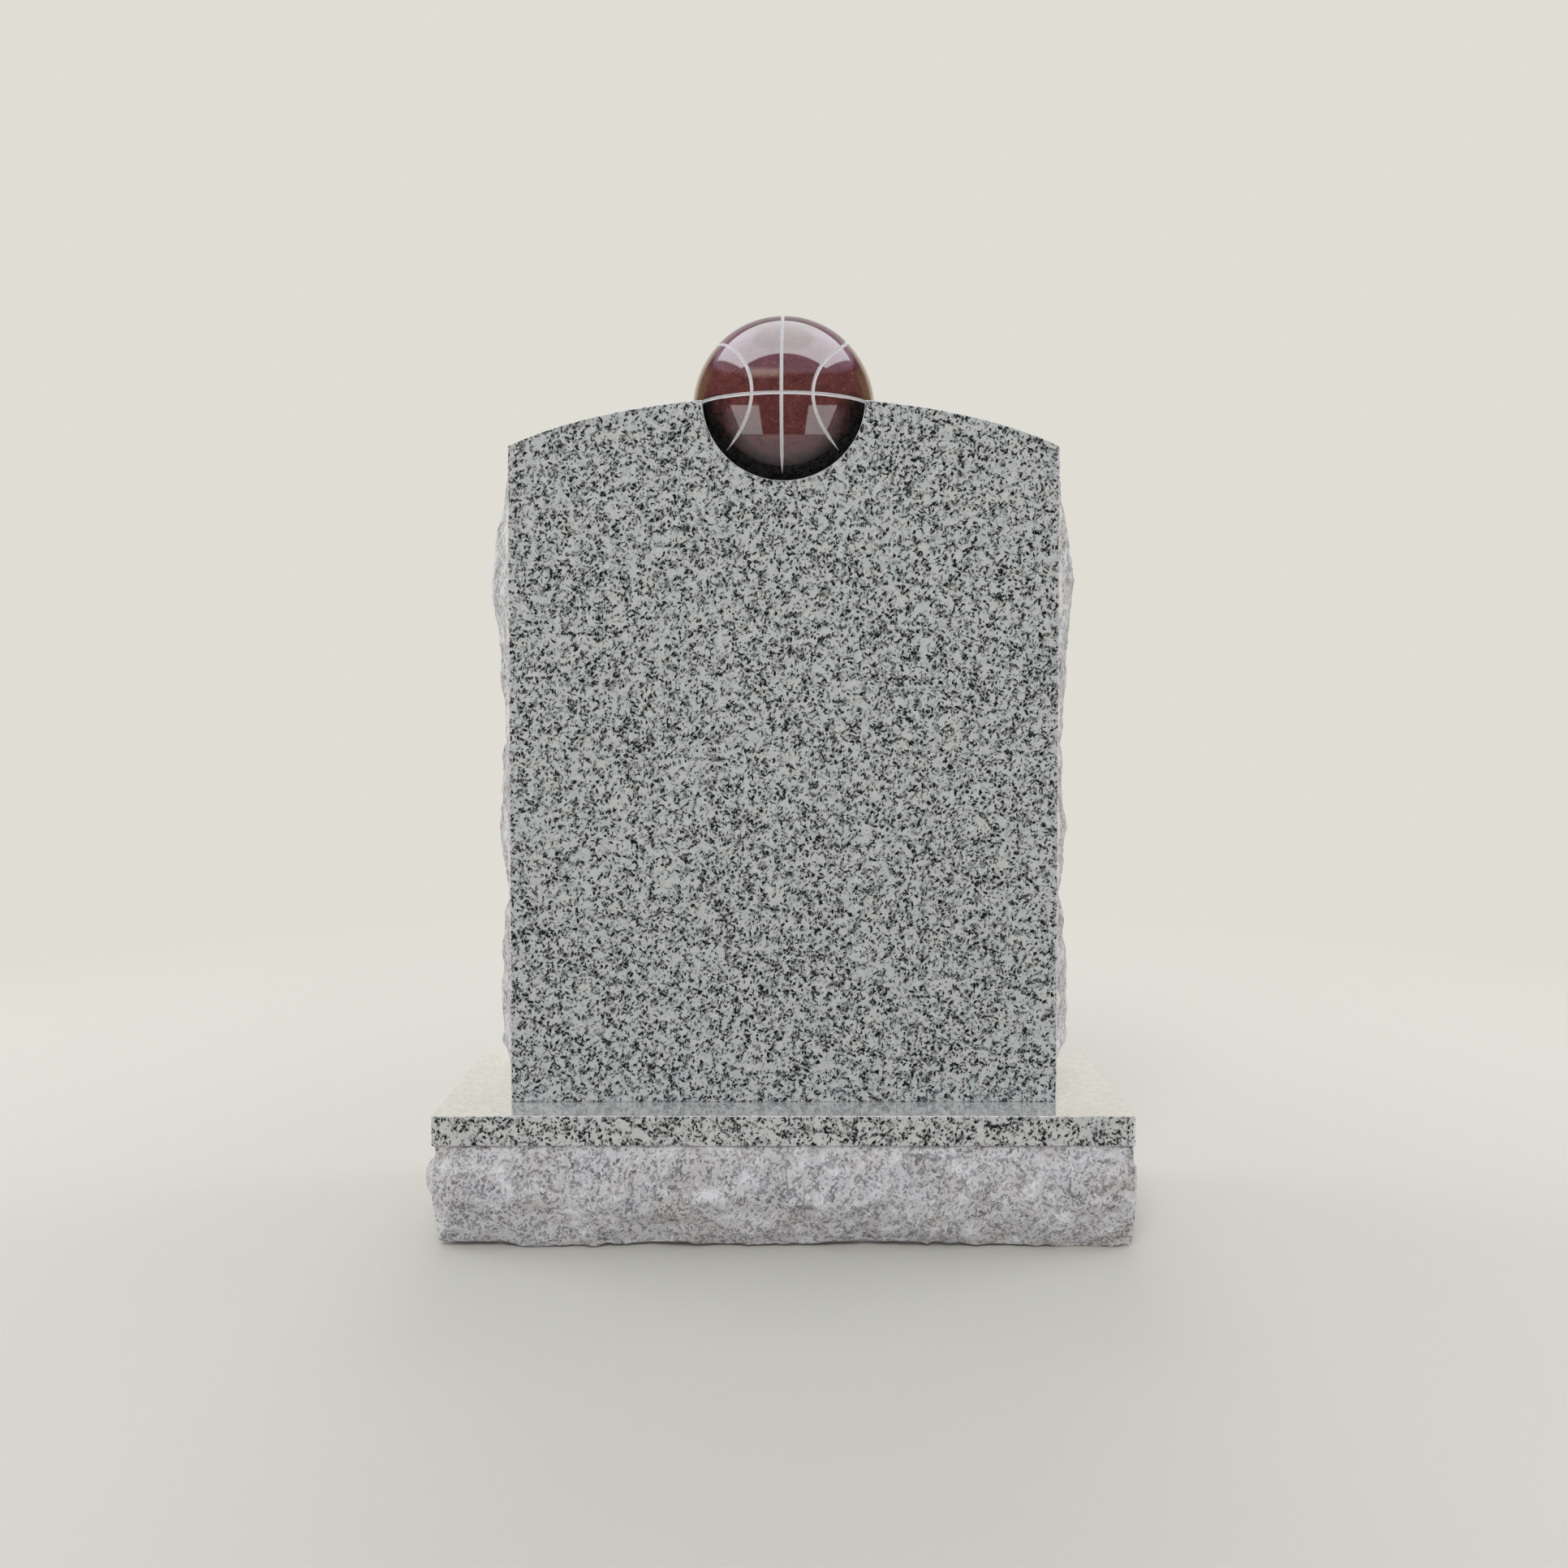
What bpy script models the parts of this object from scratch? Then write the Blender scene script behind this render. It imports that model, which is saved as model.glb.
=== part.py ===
"""Granite headstone: a rock-pitched base, an arched tablet and a polished stone basketball in its top.

Metres, +Z up. The front of the stone faces -Y. The origin is the centre of the base's underside.
"""

import math
import random

import bmesh
import bpy
import numpy as np
from mathutils import Matrix, Vector

# Base block, measured over its sawn band
BASE_WIDTH = 0.762
BASE_DEPTH = 0.254
BASE_HEIGHT = 0.146
BAND_HEIGHT = 0.0325
CHISEL_DROP = 0.002  # height of the sloping chisel line under the band
CHISEL_INSET = 0.004  # how far that line is cut in from the band
BASE_REACH = 0.014  # furthest that the broken faces stand out past the band
BASE_SCOOP_DEPTH = 0.007  # depth of the hollows that the chisel left
CORNER_BREAK = 0.028  # length over which the broken faces fall back towards a corner
CORNER_SET_BACK = 0.002  # how far the broken corners stay inside the band
WORN_CORNER = 0.002  # radius of the one rounded corner, front right
CHIP_RISE = 0.0072  # highest that the chipped lower edge lifts off the ground
CHIP_FLOOR = 0.0006  # lowest point of that edge
UNDERSIDE_INSET = 0.020  # flat underside, in from the band on every side

# Tablet
TABLET_WIDTH = 0.612
TABLET_THICKNESS = 0.1524
TABLET_HEIGHT = 0.7875  # from the base's top to the crown of the arch
ARCH_RISE = 0.0545  # from the arch's corners to its crown
SHOULDER_HEIGHT = TABLET_HEIGHT - ARCH_RISE
ARCH_SPREAD = 1.25  # half-length of the arch's ellipse, in half-widths of the tablet
TABLET_REACH = 0.030  # furthest that the broken side edges stand out past the front arris
TABLET_SCOOP_DEPTH = 0.005
EDGE_FULLNESS = 2.6  # power of the swelling from arris to arris; more is squarer

# Ball and its seat
BALL_RADIUS = 0.1058
SEAT_DEPTH = 0.0156  # how far the round dish goes below the half-round notch
SEAT_CLEARANCE = 0.0003
NOTCH_DROP = 0.002  # how far the middle of the half-round notch is below the ball's
GROOVE_WIDTH = 0.0046
GROOVE_DEPTH = 0.0018
BALL_TILT = math.radians(1.1)  # front of the ball lower
BALL_YAW = math.radians(-1.4)

BED_GAP = 0.0003  # between the base's top and the tablet's foot

# Mesh steps
STEP_ALONG = 0.0150  # along the broken faces
BASE_ROWS = 7
CHIP_STEPS = 6  # along each chipped edge that doesn't show
CORNER_STEPS = (0.0, 0.35, 0.70)  # places round a corner, in shares of its worn radius
TABLET_COLUMNS = 7
ARCH_SEGMENTS = 40
NOTCH_SEGMENTS = 48
BALL_SEGMENTS = 44
BALL_POLE = (0.87, -0.35, 0.35)  # the poles of the ball's mesh are turned here, away from the grooves
GROOVE_STEPS = 60
GROOVE_LEAST = 0.02  # share of its width at which a groove that runs out is ended

# Colours of the stones
GREY_POLISHED = (0.26, 0.27, 0.27)
GREY_BROKEN = (0.38, 0.37, 0.37)
RED_POLISHED = (0.085, 0.028, 0.026)

# Side swelling of the tablet: share of the shoulder height, share of the reach
LEFT_SWELL = (
    (0.00, 0.00), (0.05, 0.20), (0.08, 0.73), (0.10, 0.63), (0.17, 0.72), (0.20, 0.64),
    (0.225, 0.70), (0.255, 0.57), (0.29, 0.55), (0.31, 0.33), (0.34, 0.49), (0.365, 0.59),
    (0.395, 0.61), (0.42, 0.73), (0.455, 0.57), (0.53, 0.57), (0.55, 0.38), (0.58, 0.57),
    (0.62, 0.55), (0.665, 0.69), (0.71, 0.68), (0.77, 0.96), (0.80, 0.98), (0.835, 0.77),
    (0.855, 0.83), (0.88, 0.77), (0.92, 0.42), (0.96, 0.28), (1.00, 0.00),
)
RIGHT_SWELL = (
    (0.00, 0.00), (0.05, 0.25), (0.08, 0.77), (0.105, 0.70), (0.17, 0.72), (0.195, 0.66),
    (0.225, 0.75), (0.25, 0.60), (0.275, 0.60), (0.315, 0.30), (0.345, 0.54), (0.395, 0.61),
    (0.415, 0.73), (0.455, 0.56), (0.475, 0.50), (0.515, 0.56), (0.555, 0.35), (0.58, 0.49),
    (0.605, 0.49), (0.65, 0.61), (0.71, 0.73), (0.76, 0.89), (0.80, 0.98), (0.815, 0.87),
    (0.855, 0.82), (0.88, 0.73), (0.91, 0.47), (0.96, 0.28), (1.00, 0.00),
)
# Broken faces of the base: share of the height below the band, share of the reach
FACE_SWELL = (
    (0.00, -0.10), (0.10, 0.45), (0.28, 0.88), (0.50, 1.00), (0.70, 0.72), (0.86, 0.30), (1.00, -0.35),
)
END_SWELL = (
    (0.00, -0.10), (0.15, 0.15), (0.28, 1.00), (0.42, 0.97), (0.55, 0.66), (0.70, 0.50),
    (0.80, 0.20), (0.94, 0.00), (1.00, -0.35),
)
# Hollows on the front face: place across (shares of the width from the middle) and down (shares of
# the height below the band), half-length, half-height, depth share and slant
FRONT_SCOOPS = (
    (-0.427, 0.46, 0.075, 0.60, 0.7, 0.0),
    (-0.300, 0.30, 0.062, 0.40, 0.8, 0.0),
    (-0.318, 0.74, 0.060, 0.30, 1.0, 0.0),
    (-0.203, 0.32, 0.070, 0.45, 0.6, 0.1),
    (-0.220, 0.82, 0.080, 0.30, 0.7, 0.0),
    (-0.139, 0.22, 0.040, 0.36, 0.9, 0.0),
    (-0.070, 0.25, 0.045, 0.36, 0.6, -0.4),
    (-0.076, 0.72, 0.062, 0.36, 0.6, 0.0),
    (-0.012, 0.40, 0.022, 0.50, 0.9, 0.0),
    (0.065, 0.27, 0.074, 0.29, 1.0, 0.06),
    (0.040, 0.80, 0.070, 0.28, 0.6, 0.0),
    (0.138, 0.76, 0.052, 0.30, 0.8, 0.0),
    (0.167, 0.30, 0.032, 0.34, 0.5, 0.0),
    (0.213, 0.46, 0.050, 0.36, 0.8, 0.2),
    (0.306, 0.26, 0.052, 0.36, 0.6, 0.0),
    (0.288, 0.74, 0.062, 0.32, 0.7, 0.0),
    (0.387, 0.36, 0.040, 0.46, 1.0, 0.0),
    (0.444, 0.30, 0.046, 0.42, 0.5, 0.0),
    (0.433, 0.78, 0.062, 0.32, 0.7, 0.0),
)
# Chipped lower edge of the front face: place across, share of the rise
FRONT_CHIPS = (
    (-0.50, 1.00), (-0.48, 0.85), (-0.41, 0.85), (-0.355, 0.0), (-0.26, 0.36), (-0.16, 0.86),
    (-0.076, 0.36), (0.00, 0.50), (0.127, 1.00), (0.155, 1.00), (0.27, 0.50), (0.45, 0.0), (0.50, 0.50),
)
# Hollows of the other broken faces, one in each cell of a loose grid: how far each is moved, and the
# range of its half-length and half-height, all in shares of a cell, then its depth share and slant
SCOOP_MOVED = (0.30, 0.25)
SCOOP_HALF_LENGTH = (0.50, 0.85)
SCOOP_HALF_HEIGHT = (0.55, 0.85)
SCOOP_DEPTH = (0.5, 1.0)
SCOOP_SLANT = 0.3
BACK_SCOOPS = (5, 9, 2)  # seed, columns and rows on each face
RIGHT_SCOOPS = (3, 3, 2)
LEFT_SCOOPS = (8, 3, 2)
TABLET_LEFT_SCOOPS = (11, 3, 11)
TABLET_RIGHT_SCOOPS = (17, 3, 11)
SCOOP_FADE = 0.1  # share of the tablet's height over which the hollows fade out at both ends

# Side seams of the ball, cut by hand: angle from the side pole in degrees, as a mean, two swings and a skew
LEFT_SEAM = (54.8, 15.5, 1.8, 1.4)
RIGHT_SEAM = (55.4, 12.1, 3.6, 0.0)
GROOVE_END = 0.81  # share of the radius, seen from the front, where a groove runs out
GROOVE_TAPER = 0.19
SEAT_LEVEL = -0.07  # height share below which a groove may run out
SEAT_TAPER = 0.05


def clear_scene():
    for obj in list(bpy.data.objects):
        bpy.data.objects.remove(obj, do_unlink=True)


def stone(name, colour, roughness):
    """A plain material of one stone finish."""
    material = bpy.data.materials.new(name)
    material.use_nodes = True
    shader = material.node_tree.nodes["Principled BSDF"]
    shader.inputs["Base Color"].default_value = (*colour, 1.0)
    shader.inputs["Roughness"].default_value = roughness
    shader.inputs["Metallic"].default_value = 0.0
    return material


def add_object(name, bm, material=None, location=(0, 0, 0)):
    bmesh.ops.recalc_face_normals(bm, faces=bm.faces)
    mesh = bpy.data.meshes.new(name)
    bm.to_mesh(mesh)
    bm.free()
    obj = bpy.data.objects.new(name, mesh)
    obj.location = location
    bpy.context.scene.collection.objects.link(obj)
    if material:
        mesh.materials.append(material)
    return obj


def cut(obj, cutter):
    """Takes the cutter's shape out of the object."""
    cutter.hide_render = True
    cutter.display_type = "WIRE"
    boolean = obj.modifiers.new("cut " + cutter.name, "BOOLEAN")
    boolean.operation = "DIFFERENCE"
    boolean.solver = "EXACT"
    boolean.object = cutter


def curve(points, at):
    """Height of an outline, given by its corner points, at each place."""
    places, heights = zip(*points)
    return np.interp(at, places, heights)


def smooth(share):
    """Eases from 0 to 1."""
    share = np.clip(share, 0, 1)
    return share * share * (3 - 2 * share)


def scooped(across, down, scoops):
    """Relief of a broken face: overlapping shallow bowls, -1 at the deepest, 0 on the ridges."""
    deepest = np.zeros(np.broadcast(across, down).shape)
    for x, z, half_length, half_height, depth, slant in scoops:
        along = (across - x) / half_length
        over = (down - z) / half_height - slant * along
        deepest = np.minimum(deepest, depth * (along**2 + over**2 - 1))
    return deepest


def seeded_scoops(seed, columns, rows):
    """Bowls for a face that the photograph doesn't show from the front."""
    rng = random.Random(seed)
    scoops = []
    for row in range(rows):
        for column in range(columns):
            x = (column + 0.5 + rng.uniform(-SCOOP_MOVED[0], SCOOP_MOVED[0])) / columns - 0.5
            z = (row + 0.5 + rng.uniform(-SCOOP_MOVED[1], SCOOP_MOVED[1])) / rows
            half_length = rng.uniform(*SCOOP_HALF_LENGTH) / columns
            half_height = rng.uniform(*SCOOP_HALF_HEIGHT) / rows
            depth = rng.uniform(*SCOOP_DEPTH)
            scoops.append((x, z, half_length, half_height, depth, rng.uniform(-SCOOP_SLANT, SCOOP_SLANT)))
    return scoops


def seeded_chips(seed):
    """Chipped lower edge of a face that the photograph doesn't show."""
    rng = random.Random(seed)
    return [(step / CHIP_STEPS - 0.5, rng.uniform(0.0, 1.0)) for step in range(CHIP_STEPS + 1)]


def base_faces():
    """The four sides in order round the block: length, outward angle, swelling, hollows, chipped edge."""
    faces = [(BASE_WIDTH, -90, FACE_SWELL, FRONT_SCOOPS, FRONT_CHIPS)]
    others = (
        (BASE_DEPTH, 0, END_SWELL, RIGHT_SCOOPS),
        (BASE_WIDTH, 90, FACE_SWELL, BACK_SCOOPS),
        (BASE_DEPTH, 180, END_SWELL, LEFT_SCOOPS),
    )
    for length, angle, swell, scoops in others:
        faces.append((length, angle, swell, seeded_scoops(*scoops), seeded_chips(scoops[0])))
    return faces


def face_places(length):
    """Places across a face, in shares from its middle, closer together at the two corners."""
    count = max(4, 2 * round(length / STEP_ALONG / 2))
    near = WORN_CORNER / length
    inner = np.linspace(-0.5 + near, 0.5 - near, count)
    ends = np.array(CORNER_STEPS) * near
    return np.concatenate([-0.5 + ends, inner, (0.5 - ends)[::-1]])


def from_corner(length, across, end):
    """0 at one end of a face, rising to 1 past the broken corner."""
    return smooth((0.5 - end * across) * length / CORNER_BREAK)


def face_offset(length, across, down, swell, scoops):
    """How far a broken face of the base stands out past the band, in metres."""
    offset = BASE_REACH * curve(swell, down) + BASE_SCOOP_DEPTH * scooped(across, down, scoops)
    inside = from_corner(length, across, 1) * from_corner(length, across, -1)
    offset = -CORNER_SET_BACK + (offset + CORNER_SET_BACK) * inside
    offset[0] = -CHISEL_INSET
    return offset * np.where(offset > 0, BASE_REACH / offset.max(), 1.0)


def base_rings():
    """Rings of points from the top edge down to the underside, each going round once."""
    downs = np.linspace(0, 1, BASE_ROWS + 1)
    rock_top = BASE_HEIGHT - BAND_HEIGHT - CHISEL_DROP
    faces = []
    for length, angle, swell, scoops, chips in base_faces():
        across = face_places(length)
        offset = face_offset(length, across[None, :], downs[:, None], swell, scoops)
        lift = CHIP_FLOOR + (CHIP_RISE - CHIP_FLOOR) * curve(chips, across)
        faces.append((length, angle, across, offset, lift))
    rings = [[] for _ in range(BASE_ROWS + 4)]
    for k, (length, angle, across, offset, lift) in enumerate(faces):
        _, _, _, offset_before, lift_before = faces[k - 1]
        _, _, _, offset_after, _ = faces[(k + 1) % 4]
        turn = math.radians(angle)
        normal = np.array([math.cos(turn), math.sin(turn)])
        tangent = np.array([-normal[1], normal[0]])
        half_out = (BASE_DEPTH if k % 2 == 0 else BASE_WIDTH) / 2
        start_pull = 1 - from_corner(length, across, -1)
        end_pull = 1 - from_corner(length, across, 1)
        # The last place of a face is the first of the next one
        for i, share in enumerate(across[:-1]):
            flat = tangent * share * length + normal * half_out
            rings[0].append((*flat, BASE_HEIGHT))
            rings[1].append((*flat, BASE_HEIGHT - BAND_HEIGHT))
            foot = (lift[0] + lift_before[-1]) / 2 if i == 0 else lift[i]
            for row, down in enumerate(downs):
                slide = end_pull[i] * offset_after[row, 0] - start_pull[i] * offset_before[row, -1]
                spot = flat + normal * offset[row, i] + tangent * slide
                rings[2 + row].append((*spot, rock_top + (foot - rock_top) * down))
            inner = 1 - UNDERSIDE_INSET / (length / 2)
            spot = tangent * share * length * inner + normal * (half_out - UNDERSIDE_INSET)
            rings[-1].append((*spot, 0.0))
    return rings


def worn(point):
    """Rounds the front right corner of the base."""
    x, y, z = point
    centre = Vector((BASE_WIDTH / 2 - WORN_CORNER, WORN_CORNER - BASE_DEPTH / 2))
    arm = Vector((x, y)) - centre
    if arm.x > 0 and arm.y < 0 and arm.length > WORN_CORNER:
        x, y = centre + arm.normalized() * WORN_CORNER
    return x, y, z


def make_base(material):
    bm = bmesh.new()
    rings = []
    for points in base_rings():
        rings.append([bm.verts.new(worn(point)) for point in points])
    for upper, lower in zip(rings, rings[1:]):
        count = len(upper)
        for i in range(count):
            j = (i + 1) % count
            bm.faces.new((upper[i], lower[i], lower[j], upper[j]))
    bm.faces.new(rings[0])
    bm.faces.new(rings[-1][::-1])
    return add_object("base", bm, material)


def arch_height(x):
    """Height of the tablet's top above the base, by the arch's ellipse."""
    half = TABLET_WIDTH / 2 * ARCH_SPREAD
    flat_share = math.sqrt(1 - 1 / ARCH_SPREAD**2)
    rise = ARCH_RISE / (1 - flat_share)
    return TABLET_HEIGHT - rise + rise * math.sqrt(1 - (x / half) ** 2)


def side_swell(outline, scoops, heights, across):
    """How far a broken side of the tablet stands out, by height share and place from arris to arris."""
    cross = 1 - np.abs(across) ** EDGE_FULLNESS
    near_end = smooth(np.minimum(heights, 1 - heights) / SCOOP_FADE)
    # Half of the depth is added back, so that the hollows leave the mean outline where it is
    relief = TABLET_SCOOP_DEPTH * (scooped(across / 2, heights, seeded_scoops(*scoops)) + 0.5)
    swell = TABLET_REACH * curve(outline, heights) * cross + relief * cross * near_end
    return np.maximum(swell, 0.0)


def tablet_side(bm, side, outline, scoops):
    """Grid of points over one broken side, from the foot up and from front to back."""
    rows = round(SHOULDER_HEIGHT / STEP_ALONG)
    heights = np.linspace(0, 1, rows + 1)
    across = np.linspace(-1, 1, TABLET_COLUMNS + 1)
    swell = side_swell(outline, scoops, heights[:, None], across[None, :])
    foot = BASE_HEIGHT + BED_GAP
    grid = []
    for i, share in enumerate(heights):
        z = foot + share * (SHOULDER_HEIGHT - BED_GAP)
        row = []
        for j, t in enumerate(across):
            x = side * (TABLET_WIDTH / 2 + swell[i, j])
            row.append(bm.verts.new((x, t * TABLET_THICKNESS / 2, z)))
        grid.append(row)
    for lower, upper in zip(grid, grid[1:]):
        for j in range(TABLET_COLUMNS):
            bm.faces.new((lower[j], lower[j + 1], upper[j + 1], upper[j]))
    return grid


def make_tablet(material):
    bm = bmesh.new()
    left_side = tablet_side(bm, -1, LEFT_SWELL, TABLET_LEFT_SCOOPS)
    right_side = tablet_side(bm, 1, RIGHT_SWELL, TABLET_RIGHT_SCOOPS)
    edges = []
    for end, y in ((0, -TABLET_THICKNESS / 2), (-1, TABLET_THICKNESS / 2)):
        arch = []
        for k in range(1, ARCH_SEGMENTS):
            x = TABLET_WIDTH * (k / ARCH_SEGMENTS - 0.5)
            arch.append(bm.verts.new((x, y, BASE_HEIGHT + arch_height(x))))
        left = [row[end] for row in left_side]
        right = [row[end] for row in right_side]
        bm.faces.new(left + arch + right[::-1])
        edges.append([left[-1]] + arch + [right[-1]])
    front, back = edges
    # The two end pieces of the arch also take the points along the top of each side
    bm.faces.new([front[0], front[1], back[1]] + left_side[-1][:0:-1])
    bm.faces.new([front[-2], front[-1]] + right_side[-1][1:] + [back[-2]])
    for k in range(1, ARCH_SEGMENTS - 1):
        bm.faces.new((front[k], front[k + 1], back[k + 1], back[k]))
    bm.faces.new(left_side[0] + right_side[0][::-1])
    tablet = add_object("tablet", bm, material)
    cut(tablet, notch_cutter())
    cut(tablet, dish_cutter())
    return tablet


def ball_centre():
    """The ball's middle is level with the crown of the arch."""
    return Vector((0, 0, BASE_HEIGHT + TABLET_HEIGHT))


def notch_cutter():
    """A lying cylinder, a little smaller than the ball, that runs out past both faces of the tablet."""
    bm = bmesh.new()
    radius = BALL_RADIUS + SEAT_CLEARANCE - SEAT_DEPTH
    bmesh.ops.create_cone(
        bm,
        cap_ends=True,
        segments=NOTCH_SEGMENTS,
        radius1=radius,
        radius2=radius,
        depth=TABLET_THICKNESS + 2 * radius,
        matrix=Matrix.Rotation(math.radians(90), 4, "X"),
    )
    return add_object("notch_cutter", bm, location=ball_centre() - Vector((0, 0, NOTCH_DROP)))


def sphere(radius):
    bm = bmesh.new()
    pole = Vector(BALL_POLE).to_track_quat("Z", "Y").to_matrix().to_4x4()
    bmesh.ops.create_uvsphere(
        bm, u_segments=BALL_SEGMENTS, v_segments=BALL_SEGMENTS // 2, radius=radius, matrix=pole
    )
    return bm


def dish_cutter():
    return add_object("dish_cutter", sphere(BALL_RADIUS + SEAT_CLEARANCE), location=ball_centre())


def groove_share(direction):
    """1 along an open groove, falling to 0 where it runs out just above the seat."""
    above = (direction.z - SEAT_LEVEL) / SEAT_TAPER
    outside = (GROOVE_END - math.hypot(direction.x, direction.z)) / GROOVE_TAPER
    return min(1.0, max(above, outside, 0.0))


def groove_cutter(name, seam):
    """A V-shaped ring or strip along the seam, which gives a direction for each turn from 0 to 1."""
    turned = Matrix.Rotation(BALL_TILT, 3, "X") @ Matrix.Rotation(BALL_YAW, 3, "Z")
    path = [turned @ seam(k / GROOVE_STEPS) for k in range(GROOVE_STEPS)]
    shares = [groove_share(direction) for direction in path]
    closed = min(shares) > 0
    order = range(GROOVE_STEPS)
    if not closed:
        start = shares.index(0.0)
        order = [(start + k) % GROOVE_STEPS for k in order]
        order = [k for k in order if shares[k] > GROOVE_LEAST]
    bm = bmesh.new()
    sections = []
    for k in order:
        direction = path[k]
        beside = direction.cross(path[(k + 1) % GROOVE_STEPS] - path[k - 1]).normalized()
        # The V is as wide at the ball's surface as the groove, so twice as wide above it
        wide = beside * GROOVE_WIDTH * shares[k]
        deep = direction * (BALL_RADIUS - GROOVE_DEPTH * shares[k])
        above = direction * (BALL_RADIUS + GROOVE_DEPTH * shares[k])
        sections.append([bm.verts.new(corner) for corner in (deep, above + wide, above - wide)])
    pairs = list(zip(sections, sections[1:]))
    if closed:
        pairs.append((sections[-1], sections[0]))
    for first, second in pairs:
        for i in range(3):
            j = (i + 1) % 3
            bm.faces.new((first[i], first[j], second[j], second[i]))
    if not closed:
        bm.faces.new(sections[0])
        bm.faces.new(sections[-1][::-1])
    return add_object(name, bm, location=ball_centre())


def centre_seam(turn):
    angle = math.tau * turn + math.pi
    return Vector((0, math.sin(angle), math.cos(angle)))


def waist_seam(turn):
    angle = math.tau * turn
    return Vector((math.cos(angle), math.sin(angle), 0))


def side_seam(side, angles):
    mean, swing, second, skew = (math.radians(angle) for angle in angles)

    def direction(turn):
        about = math.tau * turn - math.pi / 2
        pole = mean + swing * math.cos(2 * about) + second * math.cos(4 * about) + skew * math.sin(2 * about)
        out = math.sin(pole)
        return Vector((side * math.cos(pole), -out * math.cos(about), out * math.sin(about)))

    return direction


def make_ball(material):
    ball = add_object("ball", sphere(BALL_RADIUS), material, ball_centre())
    cut(ball, groove_cutter("waist_groove", waist_seam))
    cut(ball, groove_cutter("centre_groove", centre_seam))
    cut(ball, groove_cutter("left_groove", side_seam(-1, LEFT_SEAM)))
    cut(ball, groove_cutter("right_groove", side_seam(1, RIGHT_SEAM)))
    ball.data.shade_smooth()
    ball.data.set_sharp_from_angle(angle=math.radians(30))
    return ball


def main():
    clear_scene()
    make_base(stone("grey_granite_broken", GREY_BROKEN, 0.75))
    make_tablet(stone("grey_granite_polished", GREY_POLISHED, 0.12))
    make_ball(stone("red_granite_polished", RED_POLISHED, 0.08))


main()
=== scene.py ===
"""Looks of the granite headstone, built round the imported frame. Metres, +Z up, front towards -Y."""

import itertools
import math
import random
from collections import namedtuple

import bpy
import numpy as np
from mathutils import Matrix, Vector


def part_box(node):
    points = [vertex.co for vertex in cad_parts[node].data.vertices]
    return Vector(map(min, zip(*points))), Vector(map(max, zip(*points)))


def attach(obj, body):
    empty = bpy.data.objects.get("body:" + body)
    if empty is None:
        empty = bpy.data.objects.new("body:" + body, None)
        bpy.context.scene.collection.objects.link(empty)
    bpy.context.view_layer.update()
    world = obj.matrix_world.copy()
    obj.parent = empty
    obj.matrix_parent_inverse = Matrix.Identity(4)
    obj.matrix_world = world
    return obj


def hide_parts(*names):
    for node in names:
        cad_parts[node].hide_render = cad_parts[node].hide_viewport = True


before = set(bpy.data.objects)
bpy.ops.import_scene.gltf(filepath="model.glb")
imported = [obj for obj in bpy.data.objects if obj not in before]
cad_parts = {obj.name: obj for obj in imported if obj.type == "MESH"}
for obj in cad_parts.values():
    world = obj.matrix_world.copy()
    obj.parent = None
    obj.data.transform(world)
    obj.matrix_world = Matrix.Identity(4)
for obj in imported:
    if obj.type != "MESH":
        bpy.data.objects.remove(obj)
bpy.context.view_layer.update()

base_low, base_high = (np.array(corner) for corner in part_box("base"))
tablet_low, tablet_high = (np.array(corner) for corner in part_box("tablet"))

# Sizes of the CAD model that its boxes don't give
BASE_REACH = 0.014  # furthest that the broken faces stand out past the band
BAND_HEIGHT = 0.0325
CHISEL_DROP = 0.002  # height of the sloping chisel line under the band
BASE_SCOOP_DEPTH = 0.007
CORNER_BREAK = 0.028  # length over which the broken faces fall back towards a corner
WORN_CORNER = 0.002  # radius of the one rounded corner, front right
CHIP_RISE = 0.0072  # highest that the chipped lower edge lifts off the ground
CHIP_FLOOR = 0.0006  # lowest point of that edge
UNDERSIDE_INSET = 0.020
TABLET_WIDTH = 0.612
TABLET_HEIGHT = 0.7875  # from the base's top to the crown of the arch
ARCH_RISE = 0.0545
SHOULDER_HEIGHT = TABLET_HEIGHT - ARCH_RISE
ARCH_SPREAD = 1.25  # half-length of the arch's ellipse, in half-widths of the tablet
TABLET_REACH = 0.030
TABLET_SCOOP_DEPTH = 0.005
EDGE_FULLNESS = 2.6  # power of the swelling from arris to arris; more is squarer
BALL_RADIUS = 0.1058
SEAT_DEPTH = 0.0156  # how far the round dish goes below the half-round notch
SEAT_CLEARANCE = 0.0003
NOTCH_DROP = 0.002  # how far the middle of the half-round notch is below the ball's
GROOVE_DEPTH = 0.0018
BALL_TILT = math.radians(1.1)
BALL_YAW = math.radians(-1.4)
BED_GAP = 0.0003  # between the base's top and the tablet's foot

# Sizes measured more finely here than in the CAD model
CHISEL_INSET = 0.0028  # how far the chisel line is cut in from the band
BAND_SPREAD = 0.0030  # how much wider the band is
RIGHT_FULLER = 0.0018  # how much fuller the broken faces are at the right-hand end
GROOVE_WIDTH = 0.0039

# Sizes that follow from the frame
BASE_WIDTH = base_high[0] - base_low[0] - 2 * BASE_REACH + BAND_SPREAD
BASE_DEPTH = base_high[1] - base_low[1] - 2 * BASE_REACH
BASE_HEIGHT = base_high[2]
TABLET_THICKNESS = tablet_high[1] - tablet_low[1]
CROWN = BASE_HEIGHT + TABLET_HEIGHT
BALL_CENTRE = np.array((0.0, 0.0, CROWN))

# Fineness of the visible meshes
ROCK_STEP = 0.0021
ARRIS = 0.0008  # width of the softened edges of polished stone
CHISEL_ARRIS = 0.4 * ARRIS
ARCH_POINTS = 60
NOTCH_POINTS = 96
BALL_GRID = 124
TABLE_SIDE = 64  # cells along each side of a table of noise
NOISE_LAYERS = 3

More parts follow.
